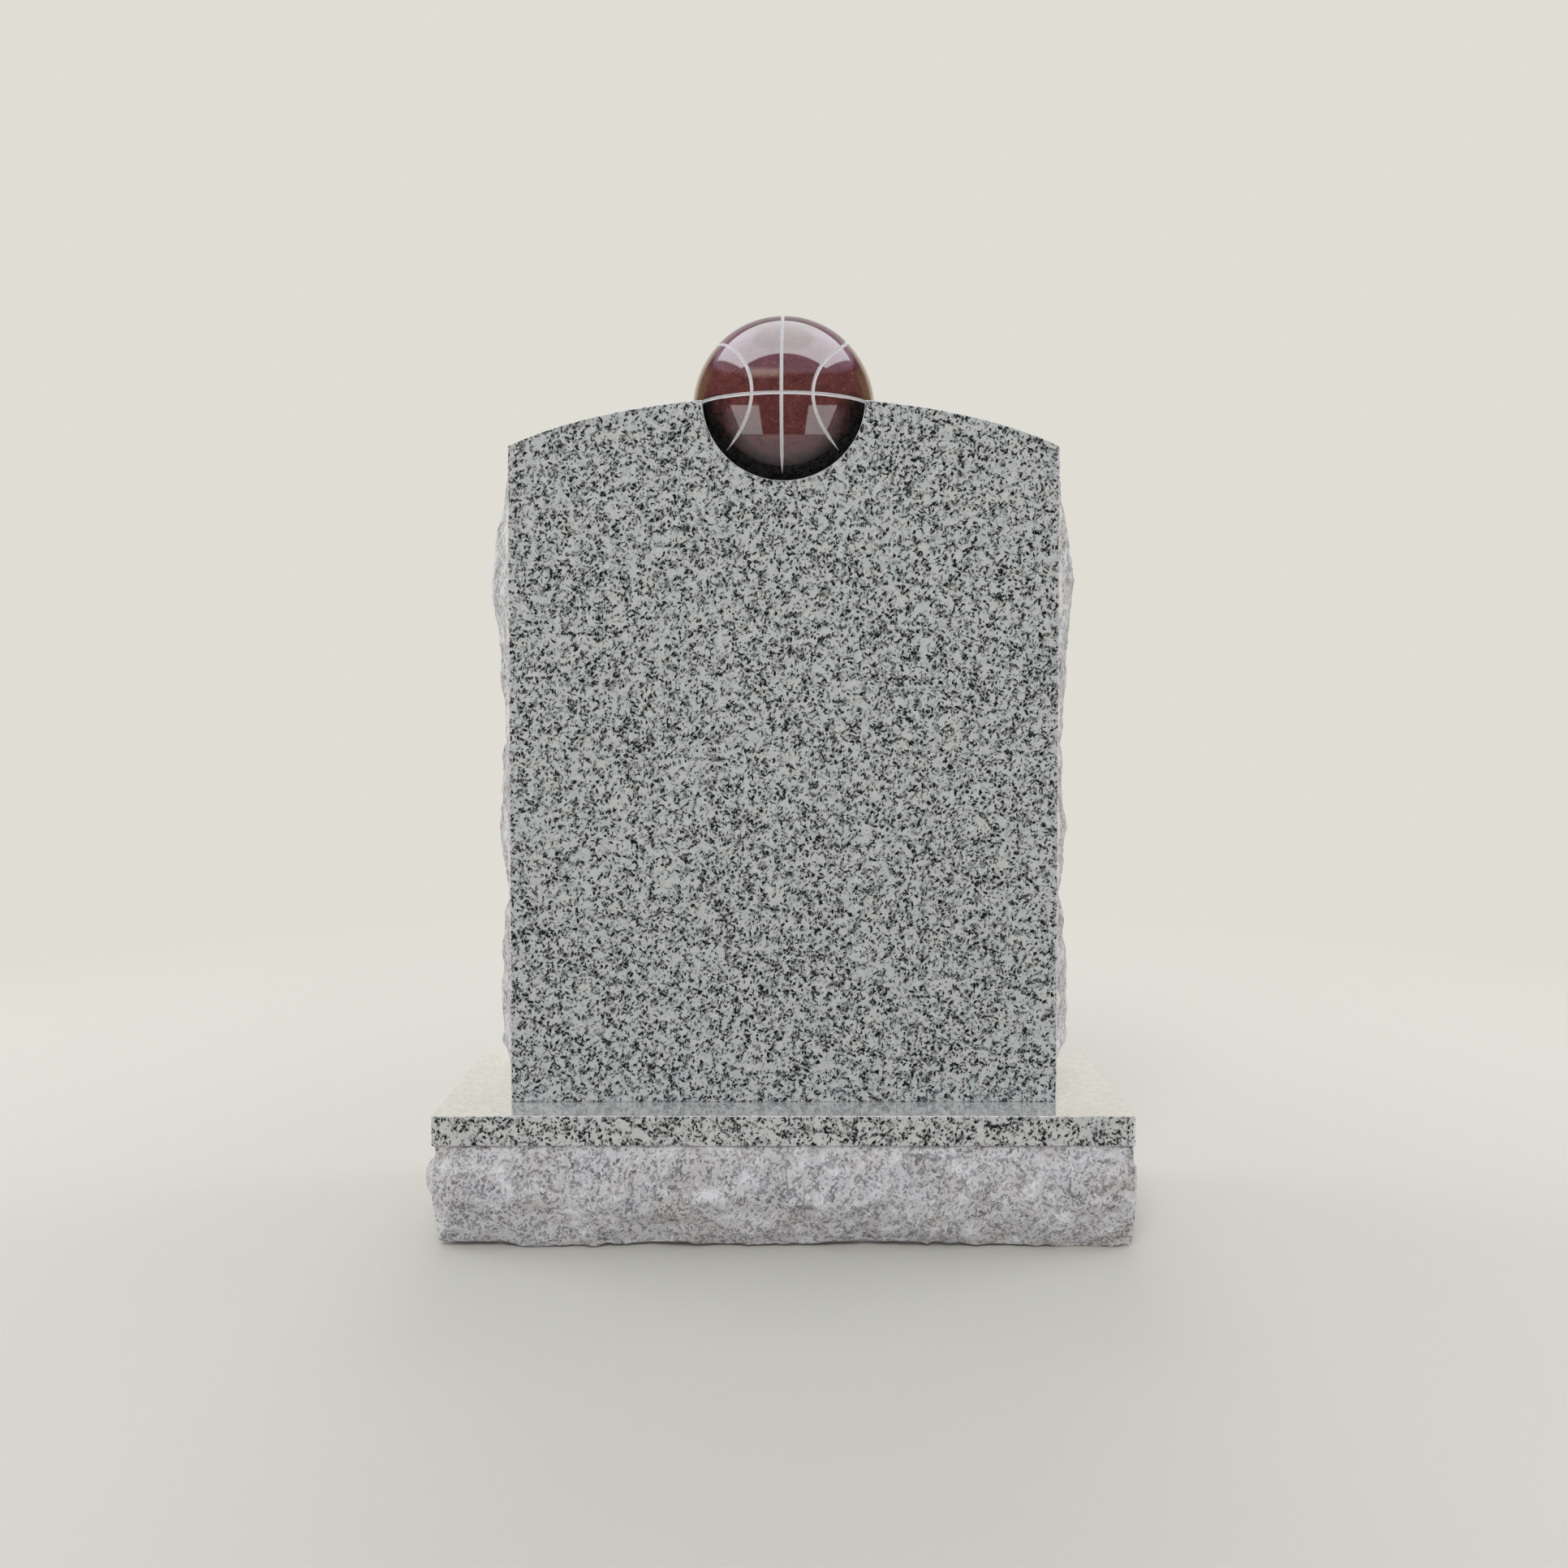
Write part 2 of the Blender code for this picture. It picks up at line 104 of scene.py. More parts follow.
# Noise on the broken faces, in metres: height and cell of each kind. The first four only push the
# hollows and flakes about.
BASE_WANDER = (0.010, 0.05)
BASE_WANDER_DOWN = (0.008, 0.05)
TABLET_WANDER = (0.007, 0.045)
FLAKE_WANDER = (0.006, 0.03)
LARGE_FLAKES = (0.0036, 0.036)
SMALL_FLAKES = (0.0012, 0.013)
GRAIN = (0.0006, 0.008)
CHISEL_RAGGED = (0.0012, 0.02)
FOOT_RAGGED = (0.0016, 0.012)
FLAKE_STRETCH = 1.2  # how much longer the large flakes are than high
RELIEF_RAISED = 0.0016  # brings the mean of the fine relief back to about zero
RELIEF_FADE = 0.05  # share of a face's height over which the fine relief fades out at its ends
ARRIS_FADE = 0.12  # the same towards the tablet's arrises, in shares of its half-thickness
CORNER_RELIEF = 0.25  # share of the fine relief that is left at the base's corners
ROCK_SEED, CHISEL_SEED, FOOT_SEED = 60, 90, 95
TABLET_SEEDS = {-1: 130, 1: 160}

# Side swelling of the tablet: share of the shoulder height, share of the reach
LEFT_SWELL = (
    (0.00, 0.00), (0.05, 0.20), (0.08, 0.73), (0.10, 0.63), (0.17, 0.72), (0.20, 0.64),
    (0.225, 0.70), (0.255, 0.57), (0.29, 0.55), (0.31, 0.33), (0.34, 0.49), (0.365, 0.59),
    (0.395, 0.61), (0.42, 0.73), (0.455, 0.57), (0.53, 0.57), (0.55, 0.38), (0.58, 0.57),
    (0.62, 0.55), (0.665, 0.69), (0.71, 0.68), (0.77, 0.96), (0.80, 0.98), (0.835, 0.77),
    (0.855, 0.83), (0.88, 0.77), (0.92, 0.42), (0.96, 0.28), (1.00, 0.00),
)
RIGHT_SWELL = (
    (0.00, 0.00), (0.05, 0.25), (0.08, 0.77), (0.105, 0.70), (0.17, 0.72), (0.195, 0.66),
    (0.225, 0.75), (0.25, 0.60), (0.275, 0.60), (0.315, 0.30), (0.345, 0.54), (0.395, 0.61),
    (0.415, 0.73), (0.455, 0.56), (0.475, 0.50), (0.515, 0.56), (0.555, 0.35), (0.58, 0.49),
    (0.605, 0.49), (0.65, 0.61), (0.71, 0.73), (0.76, 0.89), (0.80, 0.98), (0.815, 0.87),
    (0.855, 0.82), (0.88, 0.73), (0.91, 0.47), (0.96, 0.28), (1.00, 0.00),
)
# Broken faces of the base: share of the height below the band, share of the reach
FACE_SWELL = (
    (0.00, -0.10), (0.10, 0.45), (0.28, 0.88), (0.50, 1.00), (0.70, 0.72), (0.86, 0.30), (1.00, -0.35),
)
END_SWELL = (
    (0.00, -0.10), (0.15, 0.15), (0.28, 1.00), (0.42, 0.97), (0.55, 0.66), (0.70, 0.50),
    (0.80, 0.20), (0.94, 0.00), (1.00, -0.35),
)
# How far the broken corners stay inside the band: share of the height below it, metres
CORNER_BACK = (
    (0.0, 0.0034), (0.16, 0.0034), (0.31, 0.0012), (0.55, 0.0002), (0.68, 0.0016), (0.80, 0.0032),
    (0.94, 0.0038), (1.0, 0.0060),
)
# Hollows on the front face: place across (shares of the width from the middle) and down (shares of
# the height below the band), half-length, half-height, depth share and slant
FRONT_SCOOPS = (
    (-0.427, 0.46, 0.075, 0.60, 0.7, 0.0),
    (-0.300, 0.30, 0.062, 0.40, 0.8, 0.0),
    (-0.318, 0.74, 0.060, 0.30, 1.0, 0.0),
    (-0.203, 0.32, 0.070, 0.45, 0.6, 0.1),
    (-0.220, 0.82, 0.080, 0.30, 0.7, 0.0),
    (-0.139, 0.22, 0.040, 0.36, 0.9, 0.0),
    (-0.070, 0.25, 0.045, 0.36, 0.6, -0.4),
    (-0.076, 0.72, 0.062, 0.36, 0.6, 0.0),
    (-0.012, 0.40, 0.022, 0.50, 0.9, 0.0),
    (0.065, 0.27, 0.074, 0.29, 1.0, 0.06),
    (0.040, 0.80, 0.070, 0.28, 0.6, 0.0),
    (0.138, 0.76, 0.052, 0.30, 0.8, 0.0),
    (0.167, 0.30, 0.032, 0.34, 0.5, 0.0),
    (0.213, 0.46, 0.050, 0.36, 0.8, 0.2),
    (0.306, 0.26, 0.052, 0.36, 0.6, 0.0),
    (0.288, 0.74, 0.062, 0.32, 0.7, 0.0),
    (0.387, 0.36, 0.040, 0.46, 1.0, 0.0),
    (0.444, 0.30, 0.046, 0.42, 0.5, 0.0),
    (0.433, 0.78, 0.062, 0.32, 0.7, 0.0),
)
# Chipped lower edge of the front face: place across, share of the rise
FRONT_CHIPS = (
    (-0.50, 1.00), (-0.48, 0.85), (-0.41, 0.85), (-0.355, 0.0), (-0.26, 0.36), (-0.16, 0.86),
    (-0.076, 0.36), (0.00, 0.50), (0.127, 1.00), (0.155, 1.00), (0.27, 0.50), (0.45, 0.0), (0.50, 0.50),
)
CHIP_STEPS = 6
# Hollows of the other broken faces, one in each cell of a loose grid: how far each is moved, and the
# range of its half-length and half-height, all in shares of a cell, then its depth share and slant
SCOOP_MOVED = (0.30, 0.25)
SCOOP_HALF_LENGTH = (0.50, 0.85)
SCOOP_HALF_HEIGHT = (0.55, 0.85)
SCOOP_DEPTH = (0.5, 1.0)
SCOOP_SLANT = 0.3
BACK_SCOOPS = (5, 9, 2)  # seed, columns and rows on each face
RIGHT_SCOOPS = (3, 3, 2)
LEFT_SCOOPS = (8, 3, 2)
TABLET_LEFT_SCOOPS = (11, 3, 11)
TABLET_RIGHT_SCOOPS = (17, 3, 11)
SCOOP_FADE = 0.1  # share of the tablet's height over which the hollows fade out at both ends
# Side seams of the ball: angle from the side pole in degrees, as a mean, two swings and a skew
LEFT_SEAM = (54.8, 15.5, 1.8, 1.4)
RIGHT_SEAM = (55.4, 12.1, 3.6, 0.0)
GROOVE_END = 0.81  # share of the radius, seen from the front, where a groove runs out
GROOVE_TAPER = 0.19
SEAT_LEVEL = -0.07  # height share below which a groove may run out
SEAT_TAPER = 0.05


# Relief of broken stone
def curve(points, at):
    """Height of an outline, given by its corner points, at each place."""
    places, heights = zip(*points)
    return np.interp(at, places, heights)


def smooth(share):
    share = np.clip(share, 0, 1)
    return share * share * (3 - 2 * share)


def scooped(across, down, scoops):
    """Overlapping shallow bowls, -1 at the deepest, 0 on the ridges, as in the CAD model."""
    deepest = np.zeros(np.broadcast(across, down).shape)
    for x, z, half_x, half_z, depth, slant in scoops:
        along = (across - x) / half_x
        over = (down - z) / half_z - slant * along
        deepest = np.minimum(deepest, depth * (along**2 + over**2 - 1))
    return deepest


def seeded_scoops(seed, columns, rows):
    rng = random.Random(seed)
    scoops = []
    for row in range(rows):
        for column in range(columns):
            x = (column + 0.5 + rng.uniform(-SCOOP_MOVED[0], SCOOP_MOVED[0])) / columns - 0.5
            z = (row + 0.5 + rng.uniform(-SCOOP_MOVED[1], SCOOP_MOVED[1])) / rows
            half_length = rng.uniform(*SCOOP_HALF_LENGTH) / columns
            half_height = rng.uniform(*SCOOP_HALF_HEIGHT) / rows
            depth = rng.uniform(*SCOOP_DEPTH)
            scoops.append((x, z, half_length, half_height, depth, rng.uniform(-SCOOP_SLANT, SCOOP_SLANT)))
    return scoops


def seeded_chips(seed):
    rng = random.Random(seed)
    return [(step / CHIP_STEPS - 0.5, rng.uniform(0.0, 1.0)) for step in range(CHIP_STEPS + 1)]


def value_noise(u, v, cell, seed):
    """Smooth noise between -1 and 1 over a grid of cells."""
    table = np.random.RandomState(seed).uniform(-1, 1, (TABLE_SIDE, TABLE_SIDE))
    gu, gv = u / cell, v / cell
    iu, iv = np.floor(gu).astype(int), np.floor(gv).astype(int)
    fu, fv = smooth(gu - iu), smooth(gv - iv)
    iu, iv = iu % TABLE_SIDE, iv % TABLE_SIDE
    ju, jv = (iu + 1) % TABLE_SIDE, (iv + 1) % TABLE_SIDE
    low = table[iu, iv] * (1 - fu) + table[ju, iv] * fu
    high = table[iu, jv] * (1 - fu) + table[ju, jv] * fu
    return low * (1 - fv) + high * fv


def layered_noise(u, v, cell, seed):
    total = np.zeros(np.broadcast(u, v).shape)
    for k in range(NOISE_LAYERS):
        total += value_noise(u + 7.3 * k * cell, v - 3.1 * k * cell, cell / 2**k, seed + k) / 2**k
    return total


def rough(kind, u, v, seed):
    """Layered noise of one kind, given by its height and cell."""
    height, cell = kind
    return height * layered_noise(u, v, cell, seed)


def flakes(u, v, cell, seed):
    """Small shell-shaped chips, one in each cell of a loose grid: 0 on the ridges, -1 in the deepest."""
    rng = np.random.RandomState(seed)
    spots = rng.uniform(0.1, 0.9, (TABLE_SIDE, TABLE_SIDE, 2))
    sizes = rng.uniform(0.6, 1.1, (TABLE_SIDE, TABLE_SIDE))
    depths = rng.uniform(0.2, 1.0, (TABLE_SIDE, TABLE_SIDE))
    gu, gv = u / cell, v / cell
    iu, iv = np.floor(gu).astype(int), np.floor(gv).astype(int)
    deepest = np.zeros(np.broadcast(u, v).shape)
    for du in (-1, 0, 1):
        for dv in (-1, 0, 1):
            a, b = (iu + du) % TABLE_SIDE, (iv + dv) % TABLE_SIDE
            away = (gu - iu - du - spots[a, b, 0]) ** 2 + (gv - iv - dv - spots[a, b, 1]) ** 2
            deepest = np.minimum(deepest, depths[a, b] * (away / sizes[a, b] ** 2 - 1))
    return deepest


def fine_relief(u, v, seed):
    """What the CAD model leaves out: small flakes, ripples and grain, in metres."""
    warp_u = u + rough(FLAKE_WANDER, u, v, seed + 40)
    warp_v = v + rough(FLAKE_WANDER, u, v, seed + 50)
    relief = LARGE_FLAKES[0] * flakes(warp_u, warp_v * FLAKE_STRETCH, LARGE_FLAKES[1], seed)
    relief += SMALL_FLAKES[0] * flakes(warp_u, warp_v, SMALL_FLAKES[1], seed + 1)
    relief += rough(GRAIN, u, v, seed + 2)
    return relief + RELIEF_RAISED


# Meshes
def sharpen_borders(mesh, slots):
    """Keeps the shading apart where two materials meet."""
    edge_of = np.empty(len(mesh.loops), dtype=np.int32)
    mesh.loops.foreach_get("edge_index", edge_of)
    corners = np.empty(len(mesh.polygons), dtype=np.int32)
    mesh.polygons.foreach_get("loop_total", corners)
    slot_of = np.repeat(np.asarray(slots, dtype=np.int32), corners)
    lowest = np.full(len(mesh.edges), len(mesh.materials))
    highest = np.full(len(mesh.edges), -1)
    np.minimum.at(lowest, edge_of, slot_of)
    np.maximum.at(highest, edge_of, slot_of)
    sharp = np.empty(len(mesh.edges), dtype=bool)
    mesh.edges.foreach_get("use_edge_sharp", sharp)
    mesh.edges.foreach_set("use_edge_sharp", sharp | (lowest != highest))


def add_piece(name, points, faces, materials, slots, sharp=38):
    """A shaded piece, with edges kept sharp that turn by more than sharp, in degrees."""
    mesh = bpy.data.meshes.new(name)
    mesh.from_pydata(points, [], faces)
    mesh.update()
    for material in materials:
        mesh.materials.append(material)
    mesh.polygons.foreach_set("material_index", np.asarray(slots, dtype=np.int32))
    mesh.shade_smooth()
    mesh.set_sharp_from_angle(angle=math.radians(sharp))
    sharpen_borders(mesh, slots)
    # The large caps stay flat
    for polygon in mesh.polygons:
        polygon.use_smooth = len(polygon.vertices) < 5
    obj = bpy.data.objects.new(name, mesh)
    bpy.context.scene.collection.objects.link(obj)
    return obj


def grid_quads(rows, columns, wrap):
    """Quads between neighbouring rows; the columns close on themselves if wrap is set."""
    steps = columns if wrap else columns - 1
    i, j = np.meshgrid(np.arange(rows - 1), np.arange(steps), indexing="ij")
    after = (j + 1) % columns
    row, below = i * columns, (i + 1) * columns
    return np.stack([row + j, below + j, below + after, row + after], -1).reshape(-1, 4)


# Base
Side = namedtuple("Side", "length normal across offset lift")


def base_faces():
    """The four sides in order round the block: length, outward angle, swelling, hollows, chipped edge."""
    faces = [(BASE_WIDTH, -90, FACE_SWELL, FRONT_SCOOPS, FRONT_CHIPS)]
    others = (
        (BASE_DEPTH, 0, END_SWELL, RIGHT_SCOOPS),
        (BASE_WIDTH, 90, FACE_SWELL, BACK_SCOOPS),
        (BASE_DEPTH, 180, END_SWELL, LEFT_SCOOPS),
    )
    for length, angle, swell, scoops in others:
        faces.append((length, angle, swell, seeded_scoops(*scoops), seeded_chips(scoops[0])))
    return faces


def from_corner(length, across, end):
    """0 at one end of a face, rising to 1 past the broken corner."""
    return smooth((0.5 - end * across) * length / CORNER_BREAK)


def face_offset(length, across, down, swell, scoops, seed, fuller):
    """How far a broken face of the base stands out past the band, in metres."""
    height = BASE_HEIGHT - BAND_HEIGHT
    u, v = across * length, down * height
    wander = rough(BASE_WANDER, u, v, seed + 20)
    wander_down = rough(BASE_WANDER_DOWN, u, v, seed + 30)
    relief = scooped(across + wander / length, down + wander_down / height, scoops)
    offset = BASE_REACH * curve(swell, down) + BASE_SCOOP_DEPTH * relief
    inside = from_corner(length, across, 1) * from_corner(length, across, -1)
    back = curve(CORNER_BACK, down) - fuller
    offset = (offset + back) * inside - back
    offset = offset * np.where(offset > 0, BASE_REACH / offset.max(), 1.0)
    left = smooth(down / RELIEF_FADE) * (CORNER_RELIEF + (1 - CORNER_RELIEF) * inside)
    return offset + fine_relief(u, v, seed) * left


def base_outline(side, out, before_out, after_out):
    """Points of one side of the block at one height, standing out by the given amounts."""
    tangent = np.array([-side.normal[1], side.normal[0]])
    half_out = (BASE_WIDTH + BASE_DEPTH - side.length) / 2
    start_pull = 1 - from_corner(side.length, side.across, -1)
    end_pull = 1 - from_corner(side.length, side.across, 1)
    along = side.across * side.length + end_pull * after_out - start_pull * before_out
    return along[:, None] * tangent + (half_out + out)[:, None] * side.normal


def worn(points, radius):
    """Rounds the front right corner of the base; points well inside it stay where they are."""
    centre = np.array([BASE_WIDTH / 2 - WORN_CORNER, WORN_CORNER - BASE_DEPTH / 2])
    arm = points[:, :2] - centre
    reach = np.hypot(arm[:, 0], arm[:, 1])
    beyond = (arm[:, 0] > 0) & (arm[:, 1] < 0) & (reach > radius)
    points[beyond, :2] = centre + arm[beyond] * (radius / reach[beyond])[:, None]
    return points


def base_side(k, face, downs):
    """One side of the block: its broken face and chipped foot, in columns of points."""
    length, angle, swell, scoops, chips = face
    turn = math.radians(angle)
    normal = np.array([math.cos(turn), math.sin(turn)])
    across = np.linspace(-0.5, 0.5, 2 * round(length / ROCK_STEP / 2) + 1)
    rightness = 0.5 + 0.5 * normal[0] - across * normal[1]
    seed = ROCK_SEED + 7 * k
    offset = face_offset(length, across, downs[:, None], swell, scoops, seed, RIGHT_FULLER * rightness)
    offset[0] = -CHISEL_INSET + rough(CHISEL_RAGGED, across * length, 0.0, CHISEL_SEED + k)
    lift = CHIP_FLOOR + (CHIP_RISE - CHIP_FLOOR) * np.clip(curve(chips, across), 0, 1)
    lift = np.maximum(lift + rough(FOOT_RAGGED, across * length, 1.0, FOOT_SEED + k), CHIP_FLOOR)
    return Side(length, normal, across, offset, lift)


def make_base(top_stone, band_stone, broken, arris):
    top_slot, band_slot, rock_slot, arris_slot = range(4)
    rows = round((BASE_HEIGHT - BAND_HEIGHT) / ROCK_STEP)
    downs = np.linspace(0, 1, rows + 1)
    sides = [base_side(k, face, downs) for k, face in enumerate(base_faces())]
    rings = []

    def ring(heights, outs, radius=WORN_CORNER):
        """One closed ring, from the heights of each side's points and how far they stand out."""
        loop = []
        for k, side in enumerate(sides):
            before, after = outs[k - 1], outs[(k + 1) % 4]
            flat = base_outline(side, outs[k], before[-1], after[0])
            loop.append(np.column_stack([flat, heights[k]])[:-1])
        rings.append(worn(np.concatenate(loop), radius))

    def even(value):
        return [np.full(len(side.across), value) for side in sides]

    band_foot = BASE_HEIGHT - BAND_HEIGHT
    ring(even(BASE_HEIGHT), even(-ARRIS), WORN_CORNER - ARRIS)
    ring(even(BASE_HEIGHT - ARRIS), even(0.0))
    ring(even(band_foot + CHISEL_ARRIS), even(0.0))
    ring(even(band_foot), even(-CHISEL_ARRIS), WORN_CORNER - CHISEL_ARRIS)
    feet = []
    for k, side in enumerate(sides):
        foot = side.lift.copy()
        foot[0] = (foot[0] + sides[k - 1].lift[-1]) / 2
        feet.append(foot)
    rock_top = band_foot - CHISEL_DROP
    for row, down in enumerate(downs):
        ring([rock_top + (foot - rock_top) * down for foot in feet], [side.offset[row] for side in sides])
    ring(even(0.0), even(-UNDERSIDE_INSET))
    count = len(rings[0])
    row_of = np.repeat(np.arange(len(rings) - 1), count)
    slots = np.where(row_of < 1, arris_slot, np.where(row_of < 3, band_slot, rock_slot)).tolist()
    slots += [top_slot, rock_slot]
    top = list(range(count))
    under = list(range(count * (len(rings) - 1), count * len(rings)))[::-1]
    faces = grid_quads(len(rings), count, True).tolist() + [top, under]
    stones = [top_stone, band_stone, broken, arris]
    return add_piece("base_block", np.concatenate(rings), faces, stones, slots)


# Tablet
def arch_height(x):
    """Height of the tablet's top over the ground, by the arch's ellipse."""
    half = TABLET_WIDTH / 2 * ARCH_SPREAD
    rise = ARCH_RISE / (1 - math.sqrt(1 - 1 / ARCH_SPREAD**2))
    return CROWN - rise + rise * np.sqrt(1 - (x / half) ** 2)


def side_swell(side, heights, across):
    """How far one broken side stands out at the height shares and places from arris to arris."""
    outline = LEFT_SWELL if side < 0 else RIGHT_SWELL
    scoops = seeded_scoops(*(TABLET_LEFT_SCOOPS if side < 0 else TABLET_RIGHT_SCOOPS))
    u, v = across * TABLET_THICKNESS / 2, heights * SHOULDER_HEIGHT
    seed = TABLET_SEEDS[side]
    moved_across = across / 2 + rough(TABLET_WANDER, u, v, seed) / TABLET_THICKNESS
    moved_up = np.clip(heights + rough(TABLET_WANDER, u, v, seed + 9) / SHOULDER_HEIGHT, 0, 1)
    cross = 1 - np.abs(across) ** EDGE_FULLNESS
    from_end = np.minimum(heights, 1 - heights)
    relief = TABLET_SCOOP_DEPTH * (scooped(moved_across, moved_up, scoops) + 0.5)
    swell = TABLET_REACH * curve(outline, heights) * cross + relief * cross * smooth(from_end / SCOOP_FADE)
    inside = np.minimum(smooth((1 - np.abs(across)) / ARRIS_FADE), smooth(from_end / RELIEF_FADE))
    return np.maximum(swell + fine_relief(u, v, seed + 3) * inside, 0.0)


def tablet_section(y, inset, swells):
    """Outline of the tablet across one plane, going round once from the left foot."""
    foot = BASE_HEIGHT + BED_GAP
    dish = math.sqrt(max((BALL_RADIUS + SEAT_CLEARANCE) ** 2 - y * y, 0.0))
    middle = CROWN - NOTCH_DROP

    def radius(turn):
        """The notch or the dish, whichever is cut further in that direction."""
        dished = NOTCH_DROP * np.sin(turn)
        dished = dished + np.sqrt(np.maximum(dish**2 - (NOTCH_DROP * np.cos(turn)) ** 2, 0.0))
        return np.maximum(BALL_RADIUS + SEAT_CLEARANCE - SEAT_DEPTH, dished) + inset

    half = TABLET_WIDTH / 2 - inset
    # The lip, where the notch meets the arch, is found step by step
    lip = BALL_RADIUS
    for _ in range(20):
        above = arch_height(lip) - inset - middle
        lip_angle = math.atan2(above, lip)
        lip = float(radius(lip_angle)) * math.cos(lip_angle)
    shoulder = arch_height(half) - inset
    shares = np.linspace(0, 1, len(swells[-1]))
    rise = foot + shares * (shoulder - foot)
    left = np.column_stack([-(half + swells[-1]), rise])
    right = np.column_stack([half + swells[1], rise])[::-1]
    out = np.linspace(half, lip, ARCH_POINTS + 1)[1:]
    arch_left = np.column_stack([-out, arch_height(out) - inset])
    arch_right = np.column_stack([out, arch_height(out) - inset])[::-1][1:]
    turns = np.linspace(math.pi - lip_angle, math.tau + lip_angle, NOTCH_POINTS + 1)[1:]
    notch = np.column_stack([radius(turns) * np.cos(turns), middle + radius(turns) * np.sin(turns)])
    section = np.vstack([left, arch_left, notch, arch_right, right])
    return np.column_stack([section[:, 0], np.full(len(section), y), section[:, 1]])


def make_tablet(polished, broken, arris, seat):
    face_slot, rock_slot, arris_slot, seat_slot = range(4)
    rows = round(SHOULDER_HEIGHT / ROCK_STEP) + 1
    half = TABLET_THICKNESS / 2
    middle = np.linspace(-half + ARRIS, half - ARRIS, round(TABLET_THICKNESS / ROCK_STEP))
    heights = np.linspace(0, 1, rows)
    swells = {side: side_swell(side, heights[:, None], middle[None, :] / half) for side in (-1, 1)}
    flat = {side: np.zeros(rows) for side in (-1, 1)}
    sections = [tablet_section(-half, ARRIS, flat)]
    for j, y in enumerate(middle):
        sections.append(tablet_section(y, 0.0, {side: swells[side][:, j] for side in (-1, 1)}))
    sections.append(tablet_section(half, ARRIS, flat))
    around = len(sections[0])
    quads = grid_quads(len(sections), around, True)
    column_of = np.repeat(np.arange(len(sections) - 1), around)
    place_of = np.tile(np.arange(around), len(sections) - 1)
    above_foot = place_of < around - 1
    notch_start = rows - 1 + ARCH_POINTS
    on_side = (place_of < rows - 1) | (place_of >= around - rows)
    in_notch = (place_of >= notch_start) & (place_of < notch_start + NOTCH_POINTS)
    at_arris = (column_of == 0) | (column_of == len(sections) - 2)
    slots = np.where(in_notch, seat_slot, face_slot)
    slots = np.where(on_side & above_foot, rock_slot, slots)
    slots = np.where(at_arris & above_foot, arris_slot, slots).tolist() + [face_slot, face_slot]
    front = list(range(around))[::-1]
    back = list(range(around * (len(sections) - 1), around * len(sections)))
    faces = quads[:, ::-1].tolist() + [front, back]
    stones = [polished, broken, arris, seat]
    return add_piece("tablet_body", np.concatenate(sections), faces, stones, slots)


# Ball
def unit(vectors):
    return vectors / np.linalg.norm(vectors, axis=1)[:, None]


def cube_sphere(count):
    """Directions and quads of a sphere made from a cube of even squares."""
    steps = np.tan(np.linspace(-1, 1, count + 1) * math.pi / 4)
    a, b = np.meshgrid(steps, steps, indexing="ij")
    one = np.ones_like(a)
    sides = []
    for axis in range(3):
        for sign in (-1, 1):
            parts = [a * sign, b, one * sign]
            order = [parts[(0 - axis) % 3], parts[(1 - axis) % 3], parts[(2 - axis) % 3]]
            sides.append(np.stack(order, -1).reshape(-1, 3))
    # The cube is turned half a quarter, so that none of its corners is near a seam
    eighth = np.array(Matrix.Rotation(math.pi / 4, 3, "X"))
    points = unit(np.concatenate(sides)) @ eighth
    quads = grid_quads(count + 1, count + 1, False)
    quads = np.concatenate([quads + k * (count + 1) ** 2 for k in range(6)])
    _, first, index = np.unique(np.round(points, 6), axis=0, return_index=True, return_inverse=True)
    return points[first], index.reshape(-1)[quads]


def open_share(directions):
    """1 along an open groove, falling to 0 where it runs out just above the seat."""
    above = (directions[:, 2] - SEAT_LEVEL) / SEAT_TAPER
    outside = (GROOVE_END - np.hypot(directions[:, 0], directions[:, 2])) / GROOVE_TAPER
    return np.clip(np.maximum(above, outside), 0, 1)


TURNED = np.array(Matrix.Rotation(BALL_TILT, 3, "X") @ Matrix.Rotation(BALL_YAW, 3, "Z"))


def from_seams(directions):
    """Distance in metres from the middle of each of the four seams, signed across the seam."""
    x, y, z = (directions @ TURNED).T
    about = np.arctan2(z, -y)
    away = [np.arcsin(z), np.arcsin(x)]
    for side, angles in ((-1, LEFT_SEAM), (1, RIGHT_SEAM)):
        mean, swing, second, skew = (math.radians(angle) for angle in angles)
        seam = mean + swing * np.cos(2 * about) + second * np.cos(4 * about) + skew * np.sin(2 * about)
        slope = 2 * skew * np.cos(2 * about) - 2 * swing * np.sin(2 * about)
        slope = slope - 4 * second * np.sin(4 * about)
        lean = np.sqrt(1 + (slope / np.sin(seam)) ** 2)
        away.append((np.arccos(np.clip(side * x, -1, 1)) - seam) / lean)
    return BALL_RADIUS * np.stack(away)


def snap_to_grooves(directions, spacing):
    """Moves the points beside each groove's middle and two edges on to them, so that the groove is even."""
    nudge = 1e-4
    for at, seam in itertools.product((0, 1, 1), range(4)):
        here = from_seams(directions)[seam]
        half = GROOVE_WIDTH / 2 * open_share(directions)
        miss = np.abs(here) - half * at
        near = (np.abs(miss) < 0.5 * spacing) & (half > (0.0003 if at else 0.8 * spacing))
        spots = directions[near]
        first = unit(np.cross(spots, (0.31, 0.52, 0.79)))
        second = np.cross(spots, first)
        slopes = []
        for along in (first, second):
            moved = from_seams(unit(spots + along * nudge))[seam]
            slopes.append((moved - here[near]) / (nudge * BALL_RADIUS))
        steer = first * slopes[0][:, None] + second * slopes[1][:, None]
        steer /= np.maximum(np.linalg.norm(steer, axis=1), 1e-6)[:, None]
        back = np.sign(here[near]) * miss[near] / BALL_RADIUS
        directions[near] = unit(spots - steer * back[:, None])
    return directions


